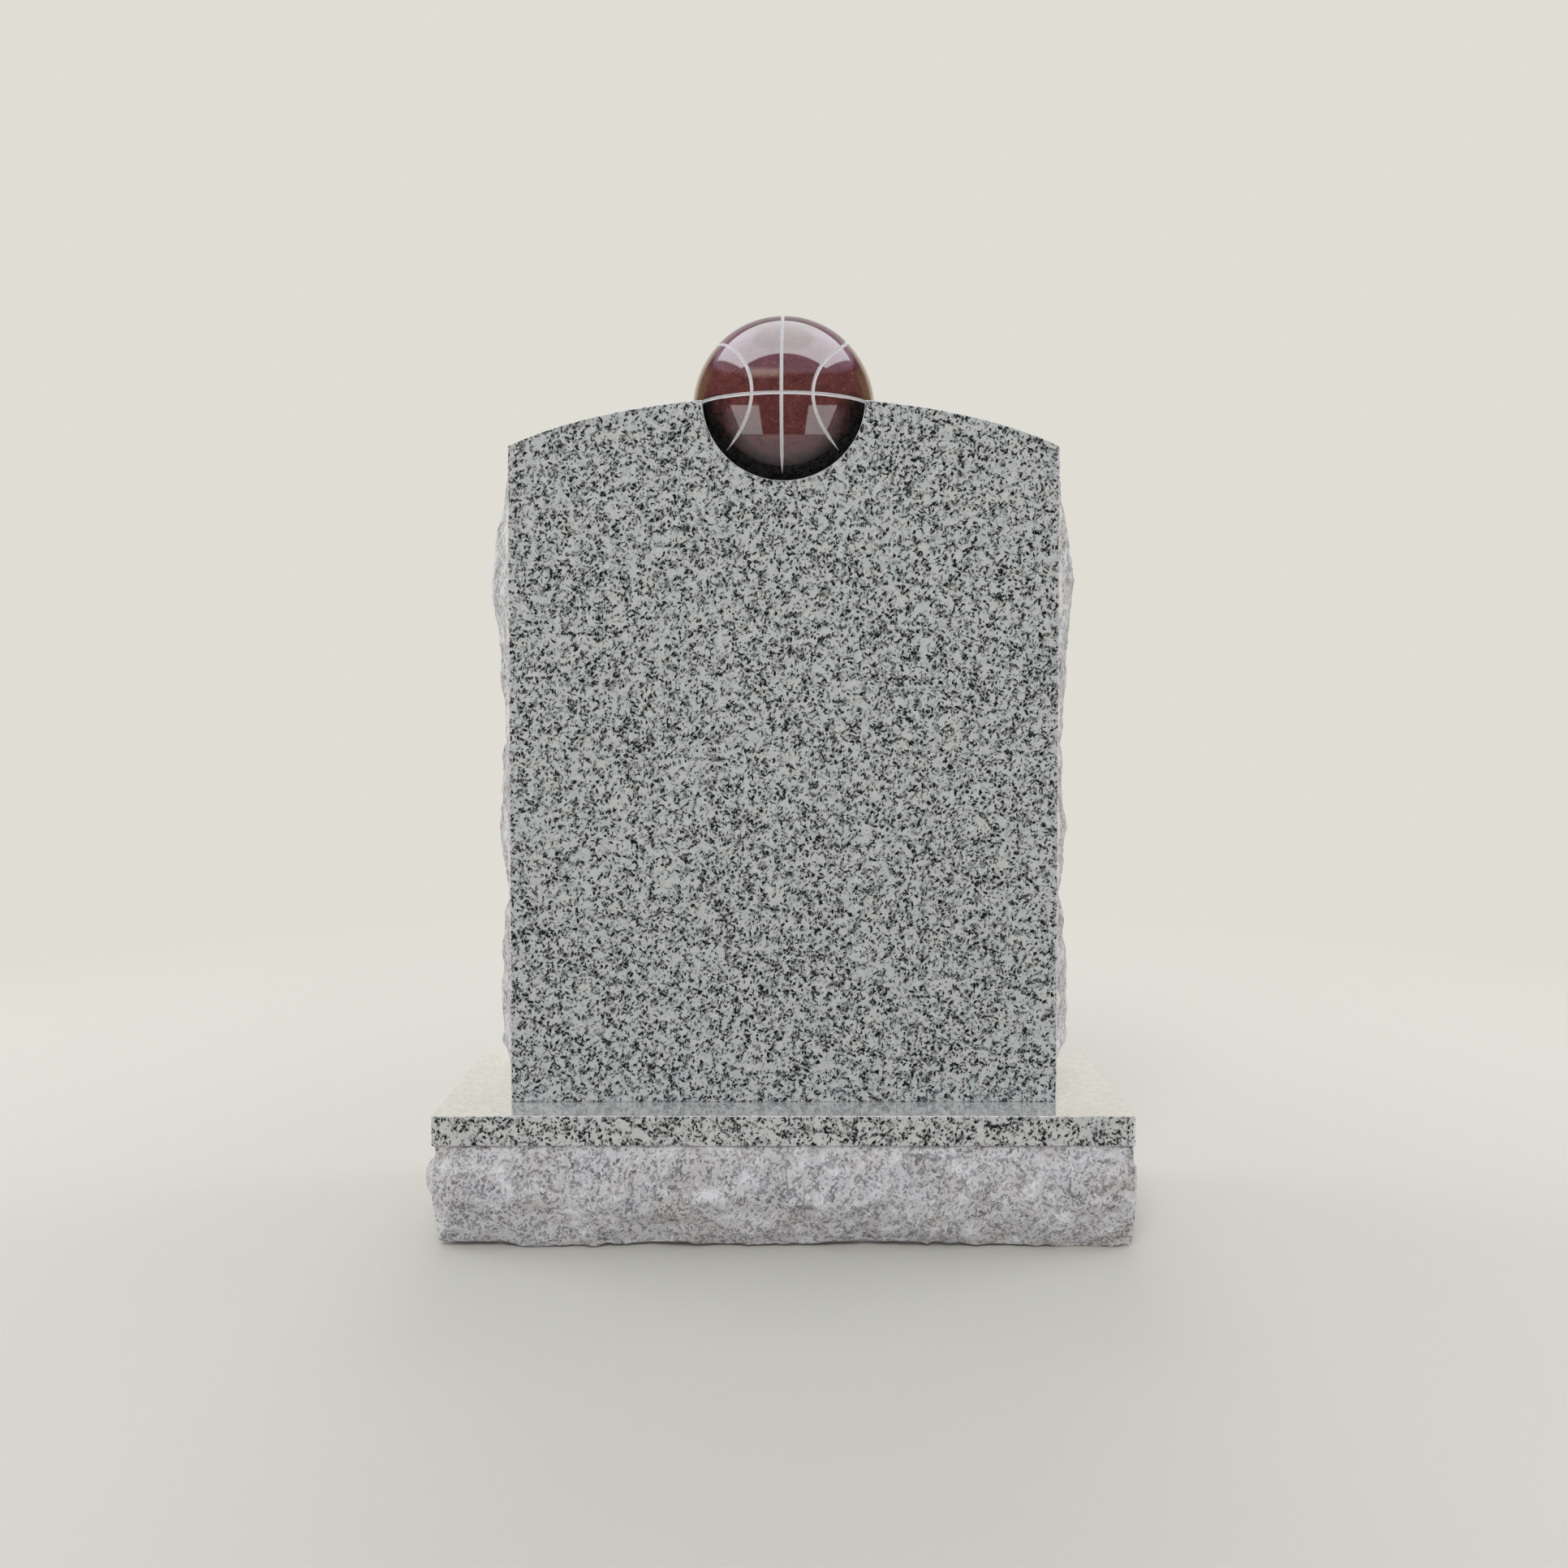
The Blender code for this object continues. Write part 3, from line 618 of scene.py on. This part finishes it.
def split_quads(quads, off_edge):
    """Cuts in two each quad with opposite corners on a groove's edge, so that one half is in the groove."""
    level = off_edge[quads]
    on_edge = np.abs(level) < 1e-4
    triangles = []
    whole = np.ones(len(quads), dtype=bool)
    for first in (0, 1):
        cut = whole & on_edge[:, first] & on_edge[:, first + 2]
        cut &= level[:, first + 1] * level[:, (first + 3) % 4] < 0
        for start in (first, first + 2):
            corners = [start, start + 1, (start + 2) % 4]
            triangles.append(quads[cut][:, [corner % 4 for corner in corners]])
        whole &= ~cut
    return quads[whole].tolist() + np.concatenate(triangles).tolist()


def make_ball(polished, frosted):
    directions, quads = cube_sphere(BALL_GRID)
    spacing = BALL_RADIUS * math.pi / 2 / BALL_GRID
    directions = snap_to_grooves(directions, spacing)
    share = open_share(directions)
    half = np.maximum(GROOVE_WIDTH / 2 * share, 1e-5)
    across = np.abs(from_seams(directions)).min(axis=0) / half
    depth = GROOVE_DEPTH * share * np.clip(1 - across**2, 0, 1)
    points = BALL_CENTRE + directions * (BALL_RADIUS - depth)[:, None]
    middles = directions[quads].mean(axis=1)
    start, after, before = (points[quads[:, corner]] for corner in (0, 1, 3))
    inward = (np.cross(after - start, before - start) * middles).sum(axis=1) < 0
    quads[inward] = quads[inward][:, ::-1]
    off_edge = np.abs(from_seams(directions)).min(axis=0) - GROOVE_WIDTH / 2 * share
    faces = split_quads(quads, off_edge)
    middles = unit(np.array([directions[face].mean(axis=0) for face in faces]))
    reach = GROOVE_WIDTH / 2 * open_share(middles)
    in_groove = np.abs(from_seams(middles)).min(axis=0) < reach
    stones = [polished, frosted]
    return add_piece("ball_stone", points, faces, stones, in_groove.astype(int), sharp=30)


# Materials
MIX_A, MIX_B, MIX_RESULT = 6, 7, 2  # the Mix node's sockets for colours

# Colours of the stones: place on the ramp, colour
GREY_TONES = (
    (0.1, (0.305, 0.319, 0.319)), (0.35, (0.393, 0.407, 0.407)),
    (0.75, (0.463, 0.469, 0.463)), (1.0, (0.555, 0.55, 0.537)),
)
BROKEN_TONES = ((0.28, (0.35, 0.34, 0.345)), (0.5, (0.46, 0.45, 0.455)), (0.70, (0.60, 0.59, 0.60)))
RED_TONES = (
    (0.0, (0.055, 0.015, 0.014)), (0.45, (0.090, 0.027, 0.025)),
    (0.8, (0.118, 0.038, 0.035)), (1.0, (0.165, 0.065, 0.058)),
)
FROST_TONES = ((0.3, (0.47, 0.46, 0.47)), (0.65, (0.55, 0.537, 0.55)))
MICA_BLACK = (0.005, 0.007, 0.008, 1)
MICA_BRUISED = (0.065, 0.062, 0.065, 1)
# Cream-white of the painted highlight beside the tablet's arrises
EDGE_HIGHLIGHT_CREAM = (0.66, 0.63, 0.585, 1)
RUBBED_GREY = (0.49, 0.49, 0.485, 1)

EDGE_HIGHLIGHT_BREADTH = 0.007  # of the cream-white painted highlight beside the arrises of the tablet's sides
EDGE_HIGHLIGHT_RAGGED = (-0.012, 0.006)
# Painted shade of the dark gap round the seat makes the ball's lower part darker: how far the patch's
# middle is above the ball's, where it starts and is full outwards, and the same downwards
SEAT_SHADE_RISE = 0.012
SEAT_SHADE_OUT = (0.058, 0.084)
SEAT_SHADE_DOWN = (-0.004, -0.016)


class Surface:
    """A node material, with short calls for the nodes that these stones use."""

    def __init__(self, name):
        self.material = bpy.data.materials.new(name)
        self.material.use_nodes = True
        self.tree = self.material.node_tree
        self.shader = self.tree.nodes["Principled BSDF"]
        self.place = self.add("ShaderNodeTexCoord").outputs["Object"]

    def add(self, kind, **settings):
        node = self.tree.nodes.new(kind)
        for key, value in settings.items():
            setattr(node, key, value)
        return node

    def join(self, value, socket):
        if hasattr(value, "is_output"):
            self.tree.links.new(value, socket)
        else:
            socket.default_value = value

    def math(self, operation, first, second=0.5):
        node = self.add("ShaderNodeMath", operation=operation)
        self.join(first, node.inputs[0])
        self.join(second, node.inputs[1])
        return node.outputs[0]

    def times(self, first, second):
        return self.math("MULTIPLY", first, second)

    def plus(self, first, second):
        return self.math("ADD", first, second)

    def length(self, first, second):
        return self.math("SQRT", self.plus(self.times(first, first), self.times(second, second)))

    def span(self, value, low, high, to_low=0.0, to_high=1.0):
        """Maps low..high to to_low..to_high, clamped."""
        node = self.add("ShaderNodeMapRange")
        self.join(value, node.inputs["Value"])
        for key, number in (("From Min", low), ("From Max", high), ("To Min", to_low), ("To Max", to_high)):
            self.join(number, node.inputs[key])
        return node.outputs[0]

    def noise(self, scale, detail=2.0, roughness=0.5, place=None, output="Fac"):
        node = self.add("ShaderNodeTexNoise")
        self.join(place or self.place, node.inputs["Vector"])
        node.inputs["Scale"].default_value = scale
        node.inputs["Detail"].default_value = detail
        node.inputs["Roughness"].default_value = roughness
        return node.outputs[output]

    def grains(self, scale, place=None):
        node = self.add("ShaderNodeTexVoronoi")
        self.join(place or self.place, node.inputs["Vector"])
        node.inputs["Scale"].default_value = scale
        return node

    def split(self, colour):
        node = self.add("ShaderNodeSeparateColor")
        self.join(colour, node.inputs[0])
        return node.outputs

    def mix(self, share, first, second):
        node = self.add("ShaderNodeMix", data_type="RGBA")
        self.join(share, node.inputs["Factor"])
        self.join(first, node.inputs[MIX_A])
        self.join(second, node.inputs[MIX_B])
        return node.outputs[MIX_RESULT]

    def ramp(self, value, stops):
        node = self.add("ShaderNodeValToRGB")
        self.join(value, node.inputs[0])
        ramp = node.color_ramp
        while len(ramp.elements) < len(stops):
            ramp.elements.new(0.5)
        for element, (position, colour) in zip(ramp.elements, stops):
            element.position = position
            element.color = (*colour, 1.0)
        return node.outputs[0]

    def bent_place(self, scale, amount):
        """The place, pushed about by noise, so that grains get ragged edges."""
        noise = self.noise(scale, 2.0, 0.6, output="Color")
        centred = self.add("ShaderNodeVectorMath", operation="SUBTRACT")
        self.join(noise, centred.inputs[0])
        centred.inputs[1].default_value = (0.5, 0.5, 0.5)
        scaled = self.add("ShaderNodeVectorMath", operation="SCALE")
        self.join(centred.outputs[0], scaled.inputs[0])
        scaled.inputs["Scale"].default_value = amount
        moved = self.add("ShaderNodeVectorMath", operation="ADD")
        self.join(self.place, moved.inputs[0])
        self.join(scaled.outputs[0], moved.inputs[1])
        return moved.outputs[0]

    def bump(self, height, strength, distance, normal=None):
        node = self.add("ShaderNodeBump")
        node.inputs["Strength"].default_value = strength
        node.inputs["Distance"].default_value = distance
        self.join(height, node.inputs["Height"])
        if normal:
            self.join(normal, node.inputs["Normal"])
        return node.outputs[0]

    def finish(self, colour=None, roughness=None, normal=None):
        for key, value in (("Base Color", colour), ("Roughness", roughness), ("Normal", normal)):
            if value is not None:
                self.join(value, self.shader.inputs[key])
        return self.material


def flake_layer(surface, place, turn, length, breadth, chance, shift):
    """Dark mica flakes lying one way: 0 for none, up to 1 for a black core."""
    lay = surface.add("ShaderNodeMapping", vector_type="TEXTURE")
    surface.join(place, lay.inputs["Vector"])
    lay.inputs["Location"].default_value = (shift, 0.37 * shift, -0.61 * shift)
    lay.inputs["Rotation"].default_value = [math.radians(angle) for angle in turn]
    lay.inputs["Scale"].default_value = (length, breadth, breadth)
    cells = surface.grains(1.0, lay.outputs[0])
    draw = surface.split(cells.outputs["Color"])
    picked = surface.math("LESS_THAN", draw[0], chance)
    reach = surface.span(draw[2], 0.0, 1.0, 0.36, 0.76)
    core = surface.math("DIVIDE", cells.outputs["Distance"], reach)
    core = surface.span(core, 0.60, 1.15, 1.0, 0.0)
    dark = surface.span(draw[1], 0.0, 0.45, 0.50, 1.0)
    return surface.times(surface.times(picked, core), dark)


# Mica lying in several ways: turn in degrees, length and breadth of a cell, share of the cells with a
# flake, and how far the cells are moved
FLAKE_LAYERS = (
    ((0, 25, 10), 0.0066, 0.0027, 0.30, 0.0),
    ((15, 85, -20), 0.0060, 0.0026, 0.30, 0.31),
    ((-20, -40, 15), 0.0070, 0.0029, 0.30, 0.57),
    ((30, 130, 40), 0.0058, 0.0025, 0.24, 0.83),
    ((0, 0, 0), 0.0024, 0.0021, 0.12, 1.19),
)


def grey_granite(surface, warmth=0.0):
    """Colour of the light grey granite, and how dark its mica is at each place."""
    bent = surface.bent_place(300, 0.0038)
    cloud = surface.noise(105, 2.0, 0.55)
    wide = surface.noise(22, 1.0)
    local, broad = surface.span(cloud, 0.34, 0.68, 0.12, 1.75), surface.span(wide, 0.3, 0.7, -0.2, 0.2)
    crowd = surface.plus(local, broad)
    mica = 0.0
    for turn, length, breadth, share, shift in FLAKE_LAYERS:
        chance = surface.times(crowd, share)
        layer = flake_layer(surface, bent, turn, length, breadth, chance, shift)
        mica = surface.math("MAXIMUM", mica, layer)
    crystal = surface.split(surface.grains(170, bent).outputs["Color"])
    fine = surface.noise(330, 3.0, 0.6)
    fine = surface.span(fine, 0.25, 0.75, 0.0, 0.65)
    tone = surface.plus(surface.times(crystal[0], 0.35), fine)
    ground = surface.ramp(tone, GREY_TONES)
    tints = surface.split(surface.noise(75, 3.0, 0.6, output="Color"))
    ground = surface.mix(surface.span(tints[0], 0.50, 0.68, 0.0, 0.5), ground, (0.475, 0.435, 0.405, 1))
    ground = surface.mix(surface.span(tints[1], 0.50, 0.68, 0.0, 0.5), ground, (0.33, 0.37, 0.38, 1))
    ground = surface.mix(surface.span(cloud, 0.50, 0.70, 0.0, 0.38), ground, (0.20, 0.215, 0.215, 1))
    ground = surface.mix(warmth, ground, (0.72, 0.64, 0.58, 1))
    return surface.mix(mica, ground, MICA_BLACK), mica


def polished_grey(name="granite_polished", roughness=0.07, warmth=0.0):
    """The granite with a polish that is a little duller on its flakes, and faintly wavy."""
    surface = Surface(name)
    colour, mica = grey_granite(surface, warmth)
    dulled = surface.span(mica, 0, 1, roughness, roughness + 0.08)
    return surface.finish(colour, dulled, surface.bump(surface.noise(14, 1.0), 0.03, 0.002))


def broken_grey(name="granite_broken", arris_at=None):
    """The same stone where it is broken: paler and duller, with its flakes veiled by bruised crystals.

    arris_at is how far in front of and behind the middle the arrises are; beside them a cream-white painted
    highlight is laid on the broken stone.
    """
    surface = Surface(name)
    _, mica = grey_granite(surface)
    ground = surface.ramp(surface.noise(210, 4.0, 0.65), BROKEN_TONES)
    tints = surface.split(surface.noise(26, 3.0, 0.55, output="Color"))
    ground = surface.mix(surface.span(tints[0], 0.45, 0.66, 0.0, 0.55), ground, (0.37, 0.335, 0.325, 1))
    ground = surface.mix(surface.span(tints[1], 0.45, 0.66, 0.0, 0.40), ground, (0.42, 0.435, 0.47, 1))
    bruise = surface.noise(38, 4.0, 0.6)
    ground = surface.mix(surface.span(bruise, 0.52, 0.70, 0.0, 0.75), ground, (0.64, 0.64, 0.66, 1))
    veiled = surface.times(mica, surface.span(bruise, 0.35, 0.68, 0.92, 0.42))
    colour = surface.mix(veiled, ground, MICA_BRUISED)
    # Painted highlight: cream-white beside the arrises, standing in for side light on the parts that face
    # forwards and backwards
    if arris_at:
        split = surface.add("ShaderNodeSeparateXYZ")
        surface.join(surface.place, split.inputs[0])
        patches = surface.span(surface.noise(24, 3.0, 0.6), 0.35, 0.65, *EDGE_HIGHLIGHT_RAGGED)
        near = surface.plus(surface.math("ABSOLUTE", split.outputs[1]), patches)
        edge_highlight = surface.span(near, arris_at - EDGE_HIGHLIGHT_BREADTH, arris_at, 0.0, 0.6)
        colour = surface.mix(edge_highlight, colour, EDGE_HIGHLIGHT_CREAM)
    rubble = surface.noise(260, 4.0, 0.7)
    normal = surface.bump(rubble, 0.5, 0.0014)
    normal = surface.bump(surface.grains(400).outputs["Distance"], 0.30, 0.0012, normal)
    return surface.finish(colour, 0.80, normal)


def steeled_grey():
    """The top of the base: sawn and rubbed smooth, so that its flakes are half lost in a pale sheen."""
    surface = Surface("granite_steeled")
    colour, _ = grey_granite(surface)
    colour = surface.mix(0.68, colour, RUBBED_GREY)
    surface.shader.inputs["Specular IOR Level"].default_value = 1.0
    surface.shader.inputs["Coat Weight"].default_value = 1.0
    surface.shader.inputs["Coat Roughness"].default_value = 0.05
    # Faint strokes of the rubbing, along the stone
    strokes = surface.add("ShaderNodeMapping")
    surface.join(surface.place, strokes.inputs["Vector"])
    strokes.inputs["Scale"].default_value = (0.25, 1, 1)
    stroke = surface.noise(330, 2.0, 0.6, strokes.outputs[0])
    normal = surface.bump(stroke, 0.25, 0.0004)
    surface.join(normal, surface.shader.inputs["Coat Normal"])
    return surface.finish(colour, 0.06, normal)


def pale_arris():
    """The softened edges, where the polish has worn to a paler, duller line."""
    surface = Surface("granite_arris")
    colour, _ = grey_granite(surface)
    wear = surface.span(surface.noise(120, 3.0), 0.35, 0.6, 0.25, 0.75)
    colour = surface.mix(wear, colour, (0.50, 0.495, 0.49, 1))
    return surface.finish(colour, 0.5, surface.bump(surface.noise(500, 3.0), 0.3, 0.0006))


def red_granite():
    """The dark red-brown granite of the ball, with painted shade that makes it nearly black low down in
    front of its seat.
    """
    surface = Surface("red_granite_polished")
    bent = surface.bent_place(420, 0.003)
    grains = surface.split(surface.grains(560, bent).outputs["Color"])
    cloud = surface.span(surface.noise(70, 3.0, 0.6), 0.3, 0.7, 0.0, 0.5)
    tone = surface.plus(surface.times(grains[0], 0.5), cloud)
    colour = surface.ramp(tone, RED_TONES)
    glint = surface.math("GREATER_THAN", grains[1], 0.98)
    colour = surface.mix(surface.times(glint, 0.3), colour, (0.26, 0.16, 0.15, 1))
    # Painted shade of the gap round the seat: the outer lower part of the ball, next to the notch's rim,
    # turns nearly black
    split = surface.add("ShaderNodeSeparateXYZ")
    surface.join(surface.place, split.inputs[0])
    up = surface.math("SUBTRACT", split.outputs[2], float(CROWN) + SEAT_SHADE_RISE)
    mottle = surface.span(surface.noise(85, 3.0, 0.65), 0.3, 0.7, -0.008, 0.008)
    ragged = surface.plus(surface.length(split.outputs[0], up), mottle)
    seat_shade = surface.times(surface.span(ragged, *SEAT_SHADE_OUT), surface.span(up, *SEAT_SHADE_DOWN))
    colour = surface.mix(surface.times(seat_shade, 0.97), colour, (0.003, 0.003, 0.003, 1))
    return surface.finish(colour, 0.035)


def frosted_groove():
    """The sandblasted grooves, pale and dull."""
    surface = Surface("groove_frosted")
    surface.shader.inputs["Specular IOR Level"].default_value = 0.3
    speck = surface.noise(700, 3.0, 0.7)
    colour = surface.ramp(speck, FROST_TONES)
    return surface.finish(colour, 0.6, surface.bump(speck, 0.1, 0.0002))


# Stage, light and camera
BACKDROP = (0.74, 0.725, 0.66)
FLOOR_RADIUS = 14.0
FLOOR_CORNERS = 96
FLOOR_FADE = (0.7, 2.2)  # where the floor's colour starts and ends running out into the backdrop
# The photograph's side, focal length and optical axis in its pixels, and the place of the eye
PHOTO = 1932
FOCAL = 1652.0
AXIS_X, AXIS_Y = 964.98, 900.95
EYE = (-0.0006, -1.5704, BASE_HEIGHT + 0.4570)
LOOK_DOWN = math.radians(1.548)


def make_floor():
    """A round pale floor whose colour runs out into the backdrop."""
    surface = Surface("floor")
    turns = np.linspace(0, math.tau, FLOOR_CORNERS, endpoint=False)
    ring = [(FLOOR_RADIUS * math.cos(turn), FLOOR_RADIUS * math.sin(turn), 0.0) for turn in turns]
    mesh = bpy.data.meshes.new("floor")
    mesh.from_pydata(ring, [], [list(range(FLOOR_CORNERS))])
    mesh.materials.append(surface.material)
    floor = bpy.data.objects.new("floor", mesh)
    bpy.context.scene.collection.objects.link(floor)
    surface.shader.inputs["Base Color"].default_value = (0.50, 0.49, 0.45, 1)
    surface.shader.inputs["Roughness"].default_value = 0.6
    far = surface.add("ShaderNodeVectorMath", operation="LENGTH")
    surface.join(surface.place, far.inputs[0])
    glow = surface.add("ShaderNodeEmission")
    glow.inputs["Color"].default_value = (*BACKDROP, 1)
    blend = surface.add("ShaderNodeMixShader")
    surface.join(surface.span(far.outputs["Value"], *FLOOR_FADE), blend.inputs[0])
    surface.join(surface.shader.outputs[0], blend.inputs[1])
    surface.join(glow.outputs[0], blend.inputs[2])
    surface.join(blend.outputs[0], surface.tree.nodes["Material Output"].inputs["Surface"])
    floor.visible_glossy = False


class Sky(Surface):
    """The studio round the stone, as light from each direction."""

    def __init__(self):
        self.world = bpy.data.worlds.new("studio")
        bpy.context.scene.world = self.world
        self.world.use_nodes = True
        self.world.cycles.sampling_method = "NONE"
        self.tree = self.world.node_tree
        self.place = self.add("ShaderNodeTexCoord").outputs["Generated"]
        split = self.add("ShaderNodeSeparateXYZ")
        self.join(self.place, split.inputs[0])
        self.x, self.y, self.z = split.outputs
        self.height = self.times(self.math("ARCSINE", self.z), 180 / math.pi)
        turn = self.math("ARCTAN2", self.x, self.times(self.y, -1.0))
        self.turn = self.times(self.math("ABSOLUTE", turn), 180 / math.pi)
        self.signed_turn = self.times(turn, 180 / math.pi)
        self.find_on_ball()

    def find_on_ball(self):
        """Where the polished ball, seen from the front, mirrors each direction, in shares of its radius."""
        toward = (Vector(EYE) - Vector(BALL_CENTRE)).normalized()
        upright = Vector((0, toward.z, -toward.y))
        halfway = self.add("ShaderNodeVectorMath", operation="ADD")
        self.join(self.place, halfway.inputs[0])
        halfway.inputs[1].default_value = toward
        normal = self.add("ShaderNodeVectorMath", operation="NORMALIZE")
        self.join(halfway.outputs[0], normal.inputs[0])
        places = []
        for axis in ((1, 0, 0), upright):
            dot = self.add("ShaderNodeVectorMath", operation="DOT_PRODUCT")
            self.join(normal.outputs[0], dot.inputs[0])
            dot.inputs[1].default_value = axis
            places.append(dot.outputs["Value"])
        self.ball_x = self.math("ABSOLUTE", places[0])
        self.ball_z = places[1]
        self.ball_rim = self.length(*places)

    def window(self, value, low, high, soft):
        """1 between two limits, with soft edges."""
        rise = self.span(value, low - soft, low + soft)
        fall = self.span(value, high - soft, high + soft, 1.0, 0.0)
        return self.times(rise, fall)

    def lamp(self, colour, strength, masks=()):
        """Light of one colour from the directions that every mask lets through."""
        for mask in masks:
            strength = self.times(mask, strength)
        node = self.add("ShaderNodeBackground")
        node.inputs["Color"].default_value = (*colour, 1)
        self.join(strength, node.inputs["Strength"])
        return node.outputs[0]


def make_world():
    """Lights matt stone softly, shows lamps in polished stone, and gives the picture a plain backdrop."""
    sky = Sky()
    over = sky.math("MAXIMUM", sky.z, 0.01)
    across, along = sky.math("DIVIDE", sky.x, over), sky.math("DIVIDE", sky.y, over)
    above = sky.span(sky.z, 0.02, 0.06)
    ceiling = (above, sky.window(across, -1.11, 1.11, 0.03), sky.window(along, -0.55, 0.78, 0.02))
    back_fade = sky.span(along, -0.4, 0.75, 1.0, 0.42)
    # Two softboxes low in front, and the light from the floor below and beside them
    outer = sky.math("SUBTRACT", sky.ball_x, sky.times(sky.ball_z, 0.42))
    inner = sky.math("SUBTRACT", sky.ball_x, sky.times(sky.ball_z, 0.14))
    card = (
        sky.span(outer, 0.542, 0.554, 1.0, 0.0),
        sky.span(inner, 0.252, 0.264),
        sky.window(sky.ball_z, -0.243, 0.06, 0.008),
    )
    below = sky.span(sky.ball_z, -0.255, -0.235, 1.0, 0.0)
    beside = sky.times(sky.span(outer, 0.53, 0.58), sky.span(sky.ball_z, 0.00, 0.06, 1.0, 0.0))
    narrow = sky.times(sky.ball_x, 0.93)
    bowl = sky.span(sky.length(narrow, sky.ball_z), 0.46, 0.62, 1.0, 0.0)
    ground = (sky.math("MAXIMUM", below, beside), bowl)
    # Pale light from behind, seen at the ball's edges
    olive = (sky.window(sky.ball_z, -0.15, 0.42, 0.06), sky.window(sky.ball_rim, 0.868, 0.940, 0.012))
    cream = (sky.window(sky.ball_z, -0.15, 0.71, 0.05), sky.span(sky.ball_rim, 0.934, 0.962))
    behind = (sky.span(sky.ball_z, 0.66, 0.76), sky.span(sky.ball_rim, 0.930, 0.950))
    spot = (sky.window(sky.signed_turn, -52, -5, 4), sky.window(sky.height, 30, 40, 2.5))
    mauve = (sky.window(sky.height, 34, 66, 2), sky.span(sky.turn, 135, 155, 1.0, 0.0))
    lamps = [
        sky.lamp((0.93, 0.98, 1.0), 7.4, (*ceiling, back_fade)),
        sky.lamp((0.95, 0.98, 1.0), 3.8, card),
        sky.lamp((0.85, 1.0, 0.15), 0.25, olive),
        sky.lamp((1.0, 0.945, 0.78), 0.90, cream),
        sky.lamp((1.0, 0.94, 1.0), 0.62, behind),
        sky.lamp((1.0, 0.83, 0.88), 1.55, ground),
        sky.lamp((1.0, 0.88, 0.68), 2.9, spot),
        sky.lamp((0.82, 0.68, 1.0), 1.1, mauve),
        sky.lamp((1.0, 0.95, 0.95), 0.08),
    ]
    total = lamps[0]
    for lamp in lamps[1:]:
        both = sky.add("ShaderNodeAddShader")
        sky.join(total, both.inputs[0])
        sky.join(lamp, both.inputs[1])
        total = both.outputs[0]
    path = sky.add("ShaderNodeLightPath")
    soft = sky.add("ShaderNodeBackground")
    soft.inputs["Color"].default_value = (0.97, 0.985, 1.0, 1)
    soft.inputs["Strength"].default_value = 0.52
    seen = sky.add("ShaderNodeBackground")
    seen.inputs["Color"].default_value = (*BACKDROP, 1)
    shown = sky.add("ShaderNodeMixShader")
    sky.join(path.outputs["Is Glossy Ray"], shown.inputs[0])
    sky.join(soft.outputs[0], shown.inputs[1])
    sky.join(total, shown.inputs[2])
    last = sky.add("ShaderNodeMixShader")
    sky.join(path.outputs["Is Camera Ray"], last.inputs[0])
    sky.join(shown.outputs[0], last.inputs[1])
    sky.join(seen.outputs[0], last.inputs[2])
    sky.join(last.outputs[0], sky.tree.nodes["World Output"].inputs["Surface"])


def area_light(name, place, target, size, radiance, colour=(1, 1, 1)):
    """A softbox, whose power grows with its face so that the face stays as bright."""
    data = bpy.data.lights.new(name, "AREA")
    data.shape = "RECTANGLE"
    data.size, data.size_y = size
    data.energy = radiance * math.pi * size[0] * size[1]
    data.color = colour
    light = bpy.data.objects.new(name, data)
    light.location = place
    aim = Vector(target) - Vector(place)
    light.rotation_euler = aim.to_track_quat("-Z", "Y").to_euler()
    light.visible_camera = False
    light.visible_glossy = False
    bpy.context.scene.collection.objects.link(light)


def make_lights():
    middle = (0, 0, 0.5)
    area_light("key", (-1.05, -5.1, 5.6), middle, (3.3, 2.7), 9.2, (0.97, 0.985, 1.0))
    area_light("low", (0, -4.0, 0.35), (0, 0, 0.2), (5.0, 0.7), 2.3)
    for side in (-1, 1):
        area_light(f"side_{side + 2}", (side * 3.6, 0.9, 1.0), middle, (1.8, 1.6), 8.0, (1.0, 0.985, 0.95))
    area_light("back", (0, 4.0, 2.0), middle, (2.6, 1.6), 5.0, (1.0, 0.985, 0.94))


def make_camera():
    data = bpy.data.cameras.new("camera")
    data.sensor_width = 36.0
    data.lens = data.sensor_width * FOCAL / PHOTO
    data.shift_x = (PHOTO / 2 - AXIS_X) / PHOTO
    data.shift_y = (AXIS_Y - PHOTO / 2) / PHOTO
    camera = bpy.data.objects.new("camera", data)
    camera.location = EYE
    camera.rotation_euler = (math.pi / 2 - LOOK_DOWN, 0, 0)
    bpy.context.scene.collection.objects.link(camera)
    bpy.context.scene.camera = camera


def main():
    polished = polished_grey()
    broken = broken_grey()
    arris = pale_arris()
    base = make_base(steeled_grey(), polished_grey("granite_sawn", 0.16, 0.12), broken, arris)
    pitched = broken_grey("granite_pitched", TABLET_THICKNESS / 2)
    tablet = make_tablet(polished, pitched, arris, polished_grey("granite_seat", 0.35))
    ball = make_ball(red_granite(), frosted_groove())
    for piece, node in ((base, "base"), (tablet, "tablet"), (ball, "ball")):
        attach(piece, "root")
        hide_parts(node)
    make_floor()
    make_world()
    make_lights()
    make_camera()
    bpy.context.scene.view_settings.view_transform = "Standard"


main()
